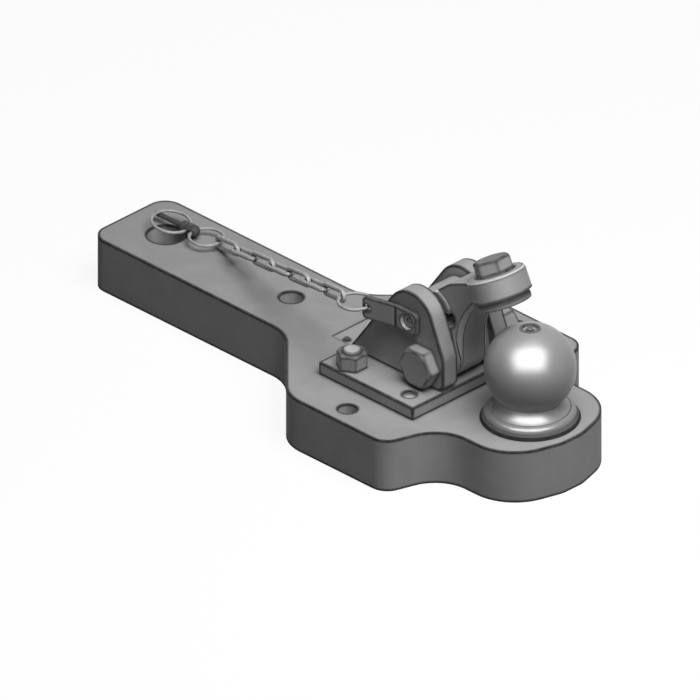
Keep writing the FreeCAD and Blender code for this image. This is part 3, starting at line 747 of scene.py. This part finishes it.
def hoop(diameter: float, wire: float) -> Shape:
    """A round wire ring about the local Z axis.

    Args:
        diameter: of the wire's centre line.
        wire: the wire's own diameter.

    Returns:
        The ring.
    """
    shape = bmesh.new()
    circle = bmesh.ops.create_circle(shape, segments=WIRE_STEPS, radius=wire / 2)["verts"]
    upright = Matrix.Translation((diameter / 2, 0, 0)) @ Matrix.Rotation(math.pi / 2, 4, "X")
    bmesh.ops.transform(shape, matrix=upright, verts=circle)
    bmesh.ops.spin(shape, geom=circle + shape.edges[:], cent=ORIGIN, axis=UP, angle=math.tau,
                   steps=HOOP_STEPS, use_merge=True)
    close_up(shape)
    return shape


def thread(origin: Vector, axis: Vector, radius: float, pitch: float, length: float, depth: float) -> Shape:
    """A screw thread's ridge, wound round a shaft that it sinks into.

    Args:
        origin: where the thread starts, on the shaft's axis.
        axis: the way that it runs.
        radius: to the ridge's crest.
        pitch: advance in a turn.
        length: of the threaded stretch.
        depth: of the ridge.

    Returns:
        The ridge as a closed solid.
    """
    shape = bmesh.new()
    root = radius - THREAD_SINK * depth
    reaches = (root, radius, radius, root)
    outline = [(reach, 0, share * pitch) for reach, share in zip(reaches, THREAD_SHARES)]
    face = shape.faces.new([shape.verts.new(point) for point in outline])
    count = round(max(1.0, length / pitch - 1) * THREAD_STEPS)
    bmesh.ops.spin(shape, geom=[*face.verts, *face.edges, face], cent=ORIGIN, axis=UP,
                   dvec=(0, 0, pitch / THREAD_STEPS), angle=math.tau * count / THREAD_STEPS, steps=count)
    close_up(shape)
    stand(shape, origin, axis)
    return shape


# The object's sub-assemblies


@dataclass
class Drawbar:
    """The flame-cut bar and the pin in its milled seat.

    Attributes:
        edge: rounding of the bar's edges.
        pin_edge: rounding of the seat pin's.
        seat_deep: the seat's depth under the bar's top.
        seat: the seat's finish, with the middle of the cutter's arcs.
    """

    edge: float = 0.5 * MM
    pin_edge: float = 0.3 * MM
    seat_deep: float = 0.8 * MM
    seat: Milled = Milled(level=0.38, roughness=0.55, specular=0.06, mottle=0.03, grain_height=0.012 * MM,
                          scratches=0.05, centre=(0.19, -0.06))

    def build(self, bench: Bench) -> None:
        """Dress the bar, its milled seat and the seat pin.

        Args:
            bench: where the pieces go.
        """
        bar = bench.rounded("drawbar_plate", Metal.BAR, self.edge)
        _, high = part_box("drawbar_plate")
        floor = high.z - self.seat_deep
        repaint(bar, self.seat.build("milled_seat"),
                lambda face: face.normal.z > LEVEL_FACE and abs(face.center.z - floor) < NEAR)
        bench.rounded("seat_pin", Metal.PIN, self.pin_edge)


@dataclass
class Nipple:
    """The grease nipple: a small hexagon under a round head with its hole.

    Attributes:
        hexagon: its corners' radius.
        hex_height: over the recess's floor.
        hex_edge: rounding of its edges.
        stem: (radius, height over the floor) of the stem.
        head: (radius, depth under the top) of the head's foot.
        dome: middle of the head's rounding, as (radius, depth under the top).
        dome_round: the rounding's radius.
        dome_deg: how far it goes, in dome_steps.
        mouth: (radius, depth under the top) of the hole, from its rim to its floor.
        steps: faces round the head.
    """

    hexagon: float = 4.2 * MM
    hex_height: float = 1.6 * MM
    hex_edge: float = 0.25 * MM
    stem: tuple[Point, ...] = ((0.0, 0.0), (2.4 * MM, 0.0), (2.2 * MM, 2.2 * MM))
    head: Point = (2.9 * MM, 1.4 * MM)
    dome: Point = (2.0 * MM, 1.1 * MM)
    dome_round: float = 1.1 * MM
    dome_deg: float = 80.0
    dome_steps: int = 5
    mouth: tuple[Point, ...] = ((0.8 * MM, 0.0), (0.6 * MM, 0.9 * MM), (0.0, 0.9 * MM))
    steps: int = 32

    def build(self, bench: Bench, foot: Vector) -> None:
        """Turn the head and stem, and raise the hexagon.

        Args:
            bench: where the pieces go.
            foot: middle of the recess's floor.
        """
        _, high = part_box("ball_grease_nipple")
        points = [(radius, foot.z + height) for radius, height in self.stem]
        points.append((self.head[0], high.z - self.head[1]))
        dome = (self.dome[0], high.z - self.dome[1])
        points += arc(dome, self.dome_round, 0, self.dome_deg, self.dome_steps)
        points += [(radius, high.z - deep) for radius, deep in self.mouth]
        head = lathe(points, Vector((foot.x, foot.y, 0)), UP, self.steps)
        bench.place(head, "nipple_head", Metal.NIPPLE, "drawbar", ("ball_grease_nipple",))
        shape = bmesh.new()
        prism = bmesh.ops.create_circle(shape, cap_ends=True, segments=6, radius=self.hexagon)
        bmesh.ops.translate(shape, vec=foot, verts=prism["verts"])
        raised = bmesh.ops.extrude_face_region(shape, geom=shape.faces[:], use_keep_orig=True)
        bmesh.ops.translate(shape, vec=(0, 0, self.hex_height), verts=verts_of(raised["geom"]))
        bmesh.ops.recalc_face_normals(shape, faces=shape.faces)
        bmesh.ops.bevel(shape, geom=shape.edges[:], offset=self.hex_edge, segments=BREAK_STEPS, profile=0.5,
                        affect="EDGES", material=-1)
        bench.place(shape, "nipple_hexagon", Metal.NIPPLE, "drawbar")


@dataclass
class CouplingBall:
    """The ball on its flange, its grease nipple, and the washer and bolt that hold it from below.

    Attributes:
        ball: its radius.
        ball_steps: faces from the waist to the recess.
        round_steps: faces round it.
        waist_deg: where the neck meets the ball, as a latitude.
        waist_gap_deg: from there to the ball's first point.
        recess: radius of the recess in the top.
        recess_deep: its depth.
        recess_round: chamfer at its floor.
        spigot: radius of the spigot in the bar.
        flange: the flange's radius at the bar.
        flange_taper: how much less it is at flange_edge over the bar.
        flange_top: its radius at flange_height over the bar.
        flange_bulge: how far the cone between the two stands out, at bulge_shares of its way.
        neck_foot: radius of the corner that the neck's curve is drawn to, in neck_steps.
        neck_foot_up: that corner's height over the flange.
        rim_round: size of the small chamfers.
        fastener_edge: rounding of the washer and bolt.
        band: a darker copy of the ball's finish on the flange's upright band, painted shade.
    """

    ball: float = 40 * MM
    ball_steps: int = 60
    round_steps: int = 128
    waist_deg: float = -46.0
    waist_gap_deg: float = 2.0
    recess: float = 7.35 * MM
    recess_deep: float = 4.5 * MM
    recess_round: float = 0.6 * MM
    spigot: float = 25 * MM
    flange: float = 43.6 * MM
    flange_taper: float = 3.5 * MM
    flange_edge: float = 5.6 * MM
    flange_top: float = 35 * MM
    flange_height: float = 10.3 * MM
    flange_bulge: float = 1.0 * MM
    bulge_shares: tuple[float, ...] = (0.2, 0.4, 0.6, 0.8)
    neck_foot: float = 29.5 * MM
    neck_foot_up: float = 3.0 * MM
    neck_steps: int = 10
    rim_round: float = 0.25 * MM
    fastener_edge: float = 0.5 * MM
    band: Finish = Finish(level=0.15, roughness=0.8, specular=0.02, edge_flat=0.99, edge_steep=0.90)

    def waist(self, centre: Vector) -> Point:
        """Where the neck meets the ball, as (radius, height)."""
        low = math.radians(self.waist_deg)
        return (self.ball * math.cos(low), centre.z + self.ball * math.sin(low))

    def creases(self, centre: Vector, top: float) -> tuple[Point, ...]:
        """Where the flange's band meets its cone, the cone its neck and the neck the ball."""
        return ((self.flange - self.flange_taper, top + self.flange_edge),
                (self.flange_top, top + self.flange_height), self.waist(centre))

    def recess_floor(self, centre: Vector) -> float:
        """Height of the floor of the recess in the ball's top."""
        return centre.z + self.ball - self.recess_deep

    def foot_points(self, top: float, foot: float) -> list[Point]:
        """Draw the spigot and the flange.

        Args:
            top: height of the bar's top.
            foot: height of the spigot's foot.

        Returns:
            Their outline as (radius, height), from the axis to the flange's upper rim.
        """
        lip = self.rim_round
        edge = Vector((self.flange - self.flange_taper, top + self.flange_edge))
        inner = Vector((self.flange_top, top + self.flange_height))
        points = [(0.0, foot), (self.spigot, foot), (self.spigot, top), (self.flange - lip, top)]
        points += [(self.flange, top + lip), (edge.x + lip, edge.y - lip)]
        points += [(edge.x, edge.y), (edge.x - lip, edge.y + lip)]
        for share in self.bulge_shares:
            bulge = self.flange_bulge * math.sin(math.pi * share)
            spot = edge.lerp(inner, share)
            points.append((spot.x + bulge, spot.y + bulge))
        points += [(inner.x, inner.y), (inner.x - lip, inner.y + lip)]
        return points

    def profile(self, centre: Vector, top: float, foot: float) -> list[Point]:
        """Draw the whole outline, from the spigot's foot to the recess.

        Args:
            centre: the ball's centre.
            top: height of the bar's top.
            foot: height of the spigot's foot.

        Returns:
            The outline as (radius, height).
        """
        points = self.foot_points(top, foot)
        start = Vector(points[-1])
        corner = Vector((self.neck_foot, top + self.flange_height + self.neck_foot_up))
        waist = Vector(self.waist(centre))
        for i in range(1, self.neck_steps + 1):
            share = i / self.neck_steps
            spot = start.lerp(corner, share).lerp(corner.lerp(waist, share), share)
            points.append((spot.x, spot.y))
        first_deg = self.waist_deg + self.waist_gap_deg
        rim_deg = math.degrees(math.acos(self.recess / self.ball))
        points += arc((0.0, centre.z), self.ball, first_deg, rim_deg, self.ball_steps)
        floor = self.recess_floor(centre)
        points += [(self.recess, floor + self.recess_round), (self.recess - self.recess_round, floor)]
        points.append((0.0, floor))
        return points

    def build(self, bench: Bench) -> None:
        """Turn the ball, and dress what is in and under it.

        Args:
            bench: where the pieces go.
        """
        low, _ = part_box("coupling_ball")
        _, bar_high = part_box("drawbar_plate")
        centre = ball_centre(bench.frame)
        shape = lathe(self.profile(centre, bar_high.z, low.z), Vector((centre.x, centre.y, 0)), UP,
                      self.round_steps)
        ball = bench.place(shape, "ball_turned", Metal.BALL, "drawbar", ("coupling_ball",))
        # Painted shade on the flange's upright band.
        band_top = bar_high.z + self.flange_edge
        repaint(ball, self.band.build("flange_band_painted_shade"),
                lambda face: bar_high.z < face.center.z < band_top and face.normal.z > 0)
        Nipple().build(bench, Vector((centre.x, centre.y, self.recess_floor(centre))))
        bench.rounded("ball_washer", Metal.ZINC, self.fastener_edge)
        bench.rounded("ball_bolt", Metal.ZINC, self.fastener_edge)


@dataclass
class Carrier:
    """The base plate, its two cheeks, studs, nuts and screws, and the pivot bolt across the cheeks.

    Attributes:
        plate_edge: rounding of the plate and the cheeks.
        nut_edge: of the nuts and the pivot bolt.
        washer_edge: of the pivot's washer.
        stud_edge: of the studs.
        screw_edge: of the front screws.
        stud: a stud's radius, with stud_pitch for its thread.
        pivot: the pivot bolt's radius, with pivot_pitch for its thread.
        depth: of both threads' ridges.
        buried: turns of thread hidden in a nut.
        stud_end: the plain end of a stud.
        nut_turn: degrees that the stud nuts are turned.
        screw_end: how far down the highlight painted on the end of a stud or screw goes.
    """

    plate_edge: float = 0.5 * MM
    nut_edge: float = 0.35 * MM
    washer_edge: float = 0.3 * MM
    stud_edge: float = 0.15 * MM
    screw_edge: float = 0.3 * MM
    stud: float = 8 * MM
    stud_pitch: float = 2.0 * MM
    pivot: float = 11 * MM
    pivot_pitch: float = 2.5 * MM
    depth: float = 0.45 * MM
    buried: int = 2
    stud_end: float = 1.0 * MM
    nut_turn: float = 15.0
    screw_end: float = 1.0 * MM

    def build(self, bench: Bench) -> None:
        """Dress the carrier and cut its threads.

        Args:
            bench: where the pieces go.
        """
        for node in ("base_plate", "near_cheek", "far_cheek"):
            bench.rounded(node, Metal.CARRIER, self.plate_edge)
        bench.rounded("base_nuts", Metal.ZINC, self.nut_edge, self.square_nuts)
        for node in ("pivot_bolt", "pivot_nut"):
            bench.rounded(node, Metal.ZINC, self.nut_edge)
        bench.rounded("pivot_washer", Metal.ZINC, self.washer_edge)
        # Painted highlight on the top faces of the stud and screw ends.
        bright = bared("screw_end")
        for node, edge in (("base_studs", self.stud_edge), ("front_screws", self.screw_edge)):
            _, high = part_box(node)
            end = high.z - self.screw_end
            repaint(bench.rounded(node, Metal.ZINC, edge), bright,
                    lambda face: face.normal.z > LEVEL_FACE and face.center.z > end)
        self.threads(bench)

    def square_nuts(self, shape: Shape) -> None:
        """Turn both stud nuts until two of their flats lie along the bar."""
        for side in (-1, 1):
            verts = [vert for vert in shape.verts if vert.co.y * side > 0]
            turn_verts(shape, verts, middle_of(verts), UP, self.nut_turn)

    def threads(self, bench: Bench) -> None:
        """Thread the stud ends over their nuts and the pivot bolt's end past its nut.

        Args:
            bench: where the threads go.
        """
        low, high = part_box("base_studs")
        _, nut_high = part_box("base_nuts")
        for index, y in enumerate((low.y + self.stud, high.y - self.stud), 1):
            start = Vector(((low.x + high.x) / 2, y, nut_high.z - self.buried * self.stud_pitch))
            length = high.z - start.z - self.stud_end
            shape = thread(start, UP, self.stud, self.stud_pitch, length, self.depth)
            bench.place(shape, "stud_thread_" + str(index), Metal.ZINC, "drawbar")
        _, bolt_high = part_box("pivot_bolt")
        _, nut_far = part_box("pivot_nut")
        spot = bench.centre("pivot_bolt")
        start = Vector((spot.x, nut_far.y - self.buried * self.pivot_pitch, spot.z))
        length = bolt_high.y - start.y
        shape = thread(start, ACROSS, self.pivot, self.pivot_pitch, length, self.depth)
        bench.place(shape, "pivot_thread", Metal.ZINC, "drawbar")


@dataclass
class Keeper:
    """The hinged arm with its boss, and the pad, shims, washer and bolt that it carries.

    Attributes:
        arm_edge: rounding of the arm.
        bush_edge: of its bushes.
        shim_edge: of the shims.
        pad_edge: of the pad and the spring washer.
        bolt_edge: of the pad bolt.
        front_reach: from the ball's centre to the arm's front.
        front_round: how much further the front's rounding goes.
        front_slack: how far its faces' middles may lie outside the two.
        ridge_side: sideways share of a normal on the rounding, from the least to the greatest.
        ridge_facing: how far it looks at the ball, at the least.
        ridge_line: width of the lines of scale along the rounding.
        ridge_foot: how high over the arm's foot they end.
        boss_tilt: the boss's lean, in degrees.
        boss_foot: a point of its axis, from the ball's centre.
        boss_length: faces of the bolt further than this from there are its top.
        rim_deg: slope of the boss's chamfer against its axis.
        rim_slack: how far a chamfer face may differ, as a cosine.
        bolt_turn: degrees that the bolt's head is turned.
        bolt_facing: how far the faces of the bolt's top look along the axis, at the least.
        bolt_top: the darker grey of the bolt's top, painted shade.
    """

    arm_edge: float = 0.6 * MM
    bush_edge: float = 0.2 * MM
    shim_edge: float = 0.15 * MM
    pad_edge: float = 0.3 * MM
    bolt_edge: float = 0.4 * MM
    front_reach: float = 68.5 * MM
    front_round: float = 5.0 * MM
    front_slack: float = 0.3 * MM
    ridge_side: Point = (0.04, 0.985)
    ridge_facing: float = 0.1
    ridge_line: float = 0.9 * MM
    ridge_foot: float = 14.0 * MM
    boss_tilt: float = 26.0
    boss_foot: Triple = (-33.3 * MM, 0.0, 58.4 * MM)
    boss_length: float = 20.6 * MM
    rim_deg: float = 45.0
    rim_slack: float = 0.03
    bolt_turn: float = 24.0
    bolt_facing: float = 0.75
    bolt_top: Finish = Finish(level=0.17, roughness=0.6, specular=0.1)

    def build(self, bench: Bench) -> None:
        """Dress the arm and what is bolted to it.

        Args:
            bench: where the pieces go.
        """
        ball = ball_centre(bench.frame)
        arm = bench.rounded("keeper_arm", Metal.ARM, self.arm_edge, lambda shape: self.ridges(shape, ball))
        arm.data.materials.append(scale_line("arm_shoulder"))
        # Painted light on the arm's rounded front edges, and a painted highlight on the boss's chamfer.
        arm.data.materials.append(bared("arm_ridge_painted_light", level=0.55, specular=0.1))
        arm.data.materials.append(bared("boss_rim_painted_highlight", level=0.7, specular=0.2))
        bench.rounded("arm_bushes", Metal.BRONZE, self.bush_edge)
        bench.rounded("pad_shims", Metal.SHIM, self.shim_edge)
        bench.rounded("hold_down_pad", Metal.PAD, self.pad_edge)
        foot = ball + Vector(self.boss_foot)
        axis = self.boss_axis()
        bolt = bench.rounded("pad_bolt", Metal.ZINC, self.bolt_edge,
                             lambda shape: turn_verts(shape, shape.verts[:], foot, axis, self.bolt_turn))
        # Painted shade: the bolt's top gets a darker grey.
        repaint(bolt, self.bolt_top.build("bolt_top"),
                lambda face: face.normal.dot(axis) > self.bolt_facing
                and (face.center - foot).length > self.boss_length)
        bench.rounded("pad_spring_washer", Metal.SHIM, self.pad_edge)

    def boss_axis(self) -> Vector:
        """The way that the pad bolt's head looks."""
        lean = math.radians(self.boss_tilt)
        return Vector((-math.sin(lean), 0, math.cos(lean)))

    def on_ridge(self, face: bmesh.types.BMFace, ball: Vector) -> bool:
        """Tell the rounded edges of the arm's front from the rest.

        Args:
            face: a face of the arm.
            ball: centre of the coupling ball.

        Returns:
            Whether it lies and looks as they do.
        """
        inward = ball - face.calc_center_median()
        inward.y = 0
        inward.z = min(inward.z, 0)
        reach = inward.length
        near = self.front_reach - self.front_slack
        far = self.front_reach + self.front_round + self.front_slack
        aside = self.ridge_side[0] < abs(face.normal.y) < self.ridge_side[1]
        return near < reach < far and aside and face.normal.dot(inward / reach) > self.ridge_facing

    def ridges(self, shape: Shape, ball: Vector) -> None:
        """Paint light on the arm's rounded front edges, between two lines of scale, and a highlight on the
        boss's chamfer.

        Args:
            shape: the arm.
            ball: centre of the coupling ball.
        """
        shape.normal_update()
        foot = min(vert.co.z for vert in shape.verts) + self.ridge_foot
        front = [face for face in shape.faces if self.on_ridge(face, ball)]
        picked = [face for face in front if face.calc_center_median().z > foot]
        lines = bmesh.ops.inset_region(shape, faces=picked, thickness=self.ridge_line)["faces"]
        for face in picked:
            face.material_index = ArmPart.RIDGE
        for face in lines:
            face.material_index = ArmPart.SHOULDER
        axis = self.boss_axis()
        slope = math.cos(math.radians(self.rim_deg))
        boss_low = ball.z + self.front_reach / 2
        for face in shape.faces:
            sloped = abs(face.normal.dot(axis) - slope) < self.rim_slack
            if sloped and face.calc_center_median().z > boss_low:
                face.material_index = ArmPart.RIM


@dataclass
class Lock:
    """The turning lock pin, its clip and the flat handle.

    Attributes:
        pin_edge: rounding of the pin.
        clip_edge: of the clip.
        handle_edge: of the handle.
        pin: radius of the pin's hole in the handle.
        pin_slack: how far a face of the hole's wall may lie outside it.
        bore_side: sideways share of that wall's normal, at the most.
        fold_line: half the width of the line of scale along the fold.
        fold_deg: least and greatest angle of the fold's edge.
        upright: upward share of that edge, at the least.
    """

    pin_edge: float = 0.4 * MM
    clip_edge: float = 0.15 * MM
    handle_edge: float = 0.6 * MM
    pin: float = 7.0 * MM
    pin_slack: float = 0.2 * MM
    bore_side: float = 0.1
    fold_line: float = 1.3 * MM
    fold_deg: Point = (8.0, 20.0)
    upright: float = 0.99

    def build(self, bench: Bench) -> None:
        """Dress the lock's pieces.

        Args:
            bench: where they go.
        """
        bench.rounded("lock_pin", Metal.PIN, self.pin_edge)
        bench.rounded("lock_clip", Metal.SHIM, self.clip_edge)
        axis, _ = bench.joint("lock_turn")
        handle = bench.rounded("lock_handle", Metal.HANDLE, self.handle_edge,
                               lambda shape: self.fold(shape, axis))
        handle.data.materials.append(scale_line("handle_fold"))
        # Painted light on the wall of the lock pin's hole.
        handle.data.materials.append(bared("handle_bore_painted_light", level=0.8))

    def is_fold(self, edge: bmesh.types.BMEdge) -> bool:
        """Tell the handle's fold: a slight, upright edge that is longer than the pin is thick.

        Args:
            edge: an edge of the handle.

        Returns:
            Whether it is the fold's.
        """
        if len(edge.link_faces) != 2:
            return False
        low, high = (math.radians(degrees) for degrees in self.fold_deg)
        way = (edge.verts[0].co - edge.verts[1].co).normalized()
        slight = low < edge.calc_face_angle(0) < high
        return slight and abs(way.z) > self.upright and edge.calc_length() > 2 * self.pin

    def fold(self, shape: Shape, axis: Vector) -> None:
        """Draw the handle's fold as a line of scale, and paint light on the wall of the lock pin's hole,
        which lies in shade.

        Args:
            shape: the handle.
            axis: a point of the lock pin's axis.
        """
        shape.normal_update()
        folds = [edge for edge in shape.edges if self.is_fold(edge)]
        for face in shape.faces:
            spot = face.calc_center_median() - axis
            inside = math.hypot(spot.x, spot.z) < self.pin + self.pin_slack
            if inside and abs(face.normal.y) < self.bore_side:
                face.material_index = HandlePart.BORE
        made = bmesh.ops.bevel(shape, geom=folds, offset=self.fold_line, offset_type="OFFSET", segments=1,
                               profile=0.5, affect="EDGES", material=-1)
        for face in made["faces"]:
            face.material_index = HandlePart.FOLD


@dataclass
class Tether:
    """The chain from the handle to the lynch pin, with its rings.

    Attributes:
        ring_wire: wire of the rings at both ends of the chain.
        snap_wire: wire of the lynch pin's snap ring.
        link_wire: wire of a link.
        link_pitch: from link to link.
        link_width: over a link's sides.
        weld_swell: how much thicker the wire is at the weld.
        side_shares: the steps of a link's straight side, with the weld halfway.
        links: number of links.
        bend_steps: faces round a link's end.
        lynch_edge: rounding of the lynch pin.
    """

    ring_wire: float = 3.0 * MM
    snap_wire: float = 2.6 * MM
    link_wire: float = 4.0 * MM
    link_pitch: float = 34.0 * MM
    link_width: float = 13.0 * MM
    weld_swell: float = 1.14
    side_shares: tuple[float, ...] = (0.42, 0.05, 0.06, 0.05, 0.42)
    links: int = 7
    bend_steps: int = 14
    lynch_edge: float = 0.4 * MM

    def build(self, bench: Bench) -> None:
        """Make the rings and links, and dress the lynch pin.

        Args:
            bench: where they go.
        """
        for node, body, joint, wire in (
            ("handle_ring", "chain_ring", "chain_ring_swing", self.ring_wire),
            ("snap_ring", "snap", "snap_ring_flip", self.snap_wire),
            ("lynch_ring", "pin_ring", "lynch_swing", self.ring_wire),
        ):
            spot, axis = bench.joint(joint)
            centre = bench.centre(node)
            shape = hoop(2 * (centre - spot).length, wire)
            shape.transform(frame_of(centre, centre - spot, axis))
            bench.place(shape, node + "_wire", Metal.RING, body, (node,))
        for index in range(1, self.links + 1):
            after = "link_" + str(index + 1) + "_swing" if index < self.links else "pin_ring_swing"
            near, _ = bench.joint("link_" + str(index) + "_swing")
            far, across = bench.joint(after)
            self.link(bench, "chain_link_" + str(index), near, far, across)
        bench.rounded("lynch_pin", Metal.LYNCH, self.lynch_edge)

    def link(self, bench: Bench, node: str, near: Vector, far: Vector, across: Vector) -> None:
        """One chain link with the swell of its butt weld, made by drawing its section round.

        Args:
            bench: where it goes.
            node: the CAD node that it stands for.
            near: the joint at its near end.
            far: wire centre of its far end.
            across: direction over its width.
        """
        half = (self.link_width - self.link_wire) / 2
        run = self.link_pitch + self.link_wire - 2 * half
        shape = bmesh.new()
        circle = bmesh.ops.create_circle(shape, segments=WIRE_STEPS, radius=self.link_wire / 2)["verts"]
        upright = Matrix.Translation((-run, half, 0)) @ Matrix.Rotation(math.pi / 2, 4, "Y")
        bmesh.ops.transform(shape, matrix=upright, verts=circle)
        self.straight(shape, run, self.weld_swell)
        self.bend(shape, 0.0)
        self.straight(shape, -run, 1.0)
        self.bend(shape, -run)
        close_up(shape)
        along = (far - near).normalized()
        shape.transform(frame_of(far - along * half, along, across))
        bench.place(shape, node + "_wire", Metal.CHAIN, bench.body_of(node), (node,))

    def open_end(self, shape: Shape) -> list[bmesh.types.BMEdge]:
        """Find the rim that was made last: the open edges with the highest vertex numbers.

        Args:
            shape: a link in the making.

        Returns:
            The rim's edges.
        """
        shape.verts.index_update()
        rims = [edge for edge in shape.edges if len(edge.link_faces) < 2]
        rims.sort(key=lambda edge: min(vert.index for vert in edge.verts))
        return rims[-WIRE_STEPS:]

    def straight(self, shape: Shape, run: float, swell: float) -> None:
        """Draw the open rim along local X, with a swell halfway.

        Args:
            shape: a link in the making.
            run: how far along X, or back where it is negative.
            swell: how much thicker the wire is halfway.
        """
        for share, scale in zip(self.side_shares, (1.0, swell, swell, 1.0, 1.0)):
            drawn = bmesh.ops.extrude_edge_only(shape, edges=self.open_end(shape))["geom"]
            verts = verts_of(drawn)
            bmesh.ops.translate(shape, vec=(share * run, 0, 0), verts=verts)
            middle = middle_of(verts)
            for vert in verts:
                away = vert.co - middle
                vert.co = middle + away.normalized() * (self.link_wire / 2 * scale)

    def bend(self, shape: Shape, x: float) -> None:
        """Draw the open rim round half a turn about local Z at x."""
        rim = self.open_end(shape)
        verts = list({vert for edge in rim for vert in edge.verts})
        bmesh.ops.spin(shape, geom=verts + rim, cent=(x, 0, 0), axis=UP, angle=-math.pi,
                       steps=self.bend_steps)


# Floor, light and camera


def direction(azimuth: float, elevation: float) -> Vector:
    """The way from the object to an eye or lamp; azimuth 0 is the near side and 90 ahead of the ball."""
    a = math.radians(azimuth)
    e = math.radians(elevation)
    return Vector((math.sin(a) * math.cos(e), -math.cos(a) * math.cos(e), math.sin(e)))


@dataclass(frozen=True)
class Lamp:
    """An oblong soft lamp that looks at the object.

    Attributes:
        name: its name.
        azimuth: where it stands, in degrees, as direction takes them.
        elevation: its height, in degrees.
        size: its width and height.
        watts: its power.
        diffuse: whether it lights matt surfaces too, and not gloss alone.
        distance: from what it looks at.
    """

    name: str
    azimuth: float
    elevation: float
    size: Point
    watts: float
    diffuse: bool = True
    distance: float = 1.8

    def hang(self, aim: Vector) -> None:
        """Make the lamp.

        Args:
            aim: the point that it looks at.
        """
        data = bpy.data.lights.new(self.name, "AREA")
        data.shape = "RECTANGLE"
        data.size, data.size_y = self.size
        data.energy = self.watts
        lamp = bpy.data.objects.new(self.name, data)
        bpy.context.scene.collection.objects.link(lamp)
        away = direction(self.azimuth, self.elevation)
        lamp.location = aim + away * self.distance
        lamp.rotation_mode = "QUATERNION"
        lamp.rotation_quaternion = away.to_track_quat("Z", "Y")
        lamp.visible_diffuse = self.diffuse


@dataclass
class Studio:
    """A pale floor, soft lamps and the parallel camera of the photograph.

    Attributes:
        picture: the picture's side, in pixels.
        px_per_mm: its scale.
        ball_foot_px: where the ball's axis meets the bar's top in it.
        elevation: the camera's, in degrees.
        azimuth: the camera's, in degrees, as direction takes them.
        distance: of the camera.
        aim_back: how far behind the ball the lamps look.
        floor_size: the floor's side.
        floor_drop: its depth under the object.
        floor_grey: its own colour.
        floor_glow: light that it adds for rays from the eye, which lifts it to white.
        sky: strength of the light that the surround throws on things.
        lamps: the lamps.
    """

    picture: float = 700.0
    px_per_mm: float = 1.165
    ball_foot_px: Point = (530.2, 416.66)
    elevation: float = 30.0
    azimuth: float = 45.0
    distance: float = 2.0
    aim_back: float = 0.16
    floor_size: float = 12.0
    floor_drop: float = 0.2 * MM
    floor_grey: float = 0.10
    floor_glow: float = 0.91
    sky: float = 0.03
    lamps: tuple[Lamp, ...] = (
        Lamp("key", azimuth=84, elevation=68, size=(1.3, 1.3), watts=34),
        Lamp("sheen", azimuth=45, elevation=49, size=(2.8, 1.8), watts=540, diffuse=False),
    )

    def white_where_seen(self, graph: Graph) -> Socket:
        """1 for rays from the eye and for reflections and refractions, 0 for light that falls on things."""
        path = graph.add("LightPath").outputs
        seen = graph.math("ADD", path["Is Camera Ray"], path["Is Glossy Ray"], clamp=True)
        return graph.math("ADD", seen, path["Is Transmission Ray"], clamp=True)

    def floor(self) -> None:
        """The floor, white to the camera and darker to the light that it throws back."""
        graph = Graph(bpy.data.materials.new("floor"))
        matt = graph.add("BsdfDiffuse", None, Color=grey(self.floor_grey))
        glow = graph.math("MULTIPLY", self.white_where_seen(graph), self.floor_glow)
        light = graph.add("Emission", None, Color=grey(1.0), Strength=glow)
        both = graph.add("AddShader", None, i0=matt.outputs[0], i1=light.outputs[0])
        graph.add("OutputMaterial", None, Surface=both.outputs[0])
        mesh = bpy.data.meshes.new("floor")
        shape = bmesh.new()
        bmesh.ops.create_grid(shape, x_segments=1, y_segments=1, size=self.floor_size / 2)
        shape.to_mesh(mesh)
        shape.free()
        mesh.materials.append(graph.owner)
        plane = bpy.data.objects.new("floor", mesh)
        bpy.context.scene.collection.objects.link(plane)
        plane.location.z = -self.floor_drop

    def world(self) -> None:
        """A white surround to the eye, and a weak even light."""
        graph = Graph(bpy.data.worlds.new("surround"))
        level = graph.spread(self.white_where_seen(graph), (0.0, 1.0), (self.sky, 1.0))
        background = graph.add("Background", None, Color=grey(1.0), Strength=level)
        graph.add("OutputWorld", None, Surface=background.outputs[0])
        bpy.context.scene.world = graph.owner

    def camera(self, ball_foot: Vector) -> None:
        """The photograph's camera: parallel, with the ball's foot at its measured pixel.

        Args:
            ball_foot: where the ball's axis meets the bar's top.
        """
        away = direction(self.azimuth, self.elevation)
        right = UP.cross(away).normalized()
        up = away.cross(right)
        scale = self.px_per_mm / MM
        middle = self.picture / 2
        shift = right * ((middle - self.ball_foot_px[0]) / scale)
        shift += up * ((self.ball_foot_px[1] - middle) / scale)
        data = bpy.data.cameras.new("camera")
        data.type = "ORTHO"
        data.ortho_scale = self.picture / scale
        camera = bpy.data.objects.new("camera", data)
        bpy.context.scene.collection.objects.link(camera)
        camera.location = ball_foot + shift + away * self.distance
        camera.rotation_mode = "QUATERNION"
        camera.rotation_quaternion = away.to_track_quat("Z", "Y")
        bpy.context.scene.camera = camera

    def build(self, ball_foot: Vector) -> None:
        """Set the floor, the lamps and the camera round the object.

        Args:
            ball_foot: where the ball's axis meets the bar's top.
        """
        self.floor()
        self.world()
        for lamp in self.lamps:
            lamp.hang(ball_foot - Vector((self.aim_back, 0, 0)))
        self.camera(ball_foot)
        bpy.context.scene.view_settings.view_transform = "Standard"


def main() -> None:
    """Load the frame, build every sub-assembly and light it."""
    logging.basicConfig(level=logging.INFO, format="%(name)s %(message)s")
    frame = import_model()
    centre = ball_centre(frame)
    _, bar_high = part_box("drawbar_plate")
    bench = Bench(frame, finishes(centre, CouplingBall().creases(centre, bar_high.z)))
    for assembly in (Drawbar(), CouplingBall(), Carrier(), Keeper(), Lock(), Tether()):
        assembly.build(bench)
        LOG.info("%s done, %d pieces so far", type(assembly).__name__, len(bench.made))
    Studio().build(Vector((centre.x, centre.y, bar_high.z)))


if __name__ == "__main__":
    main()
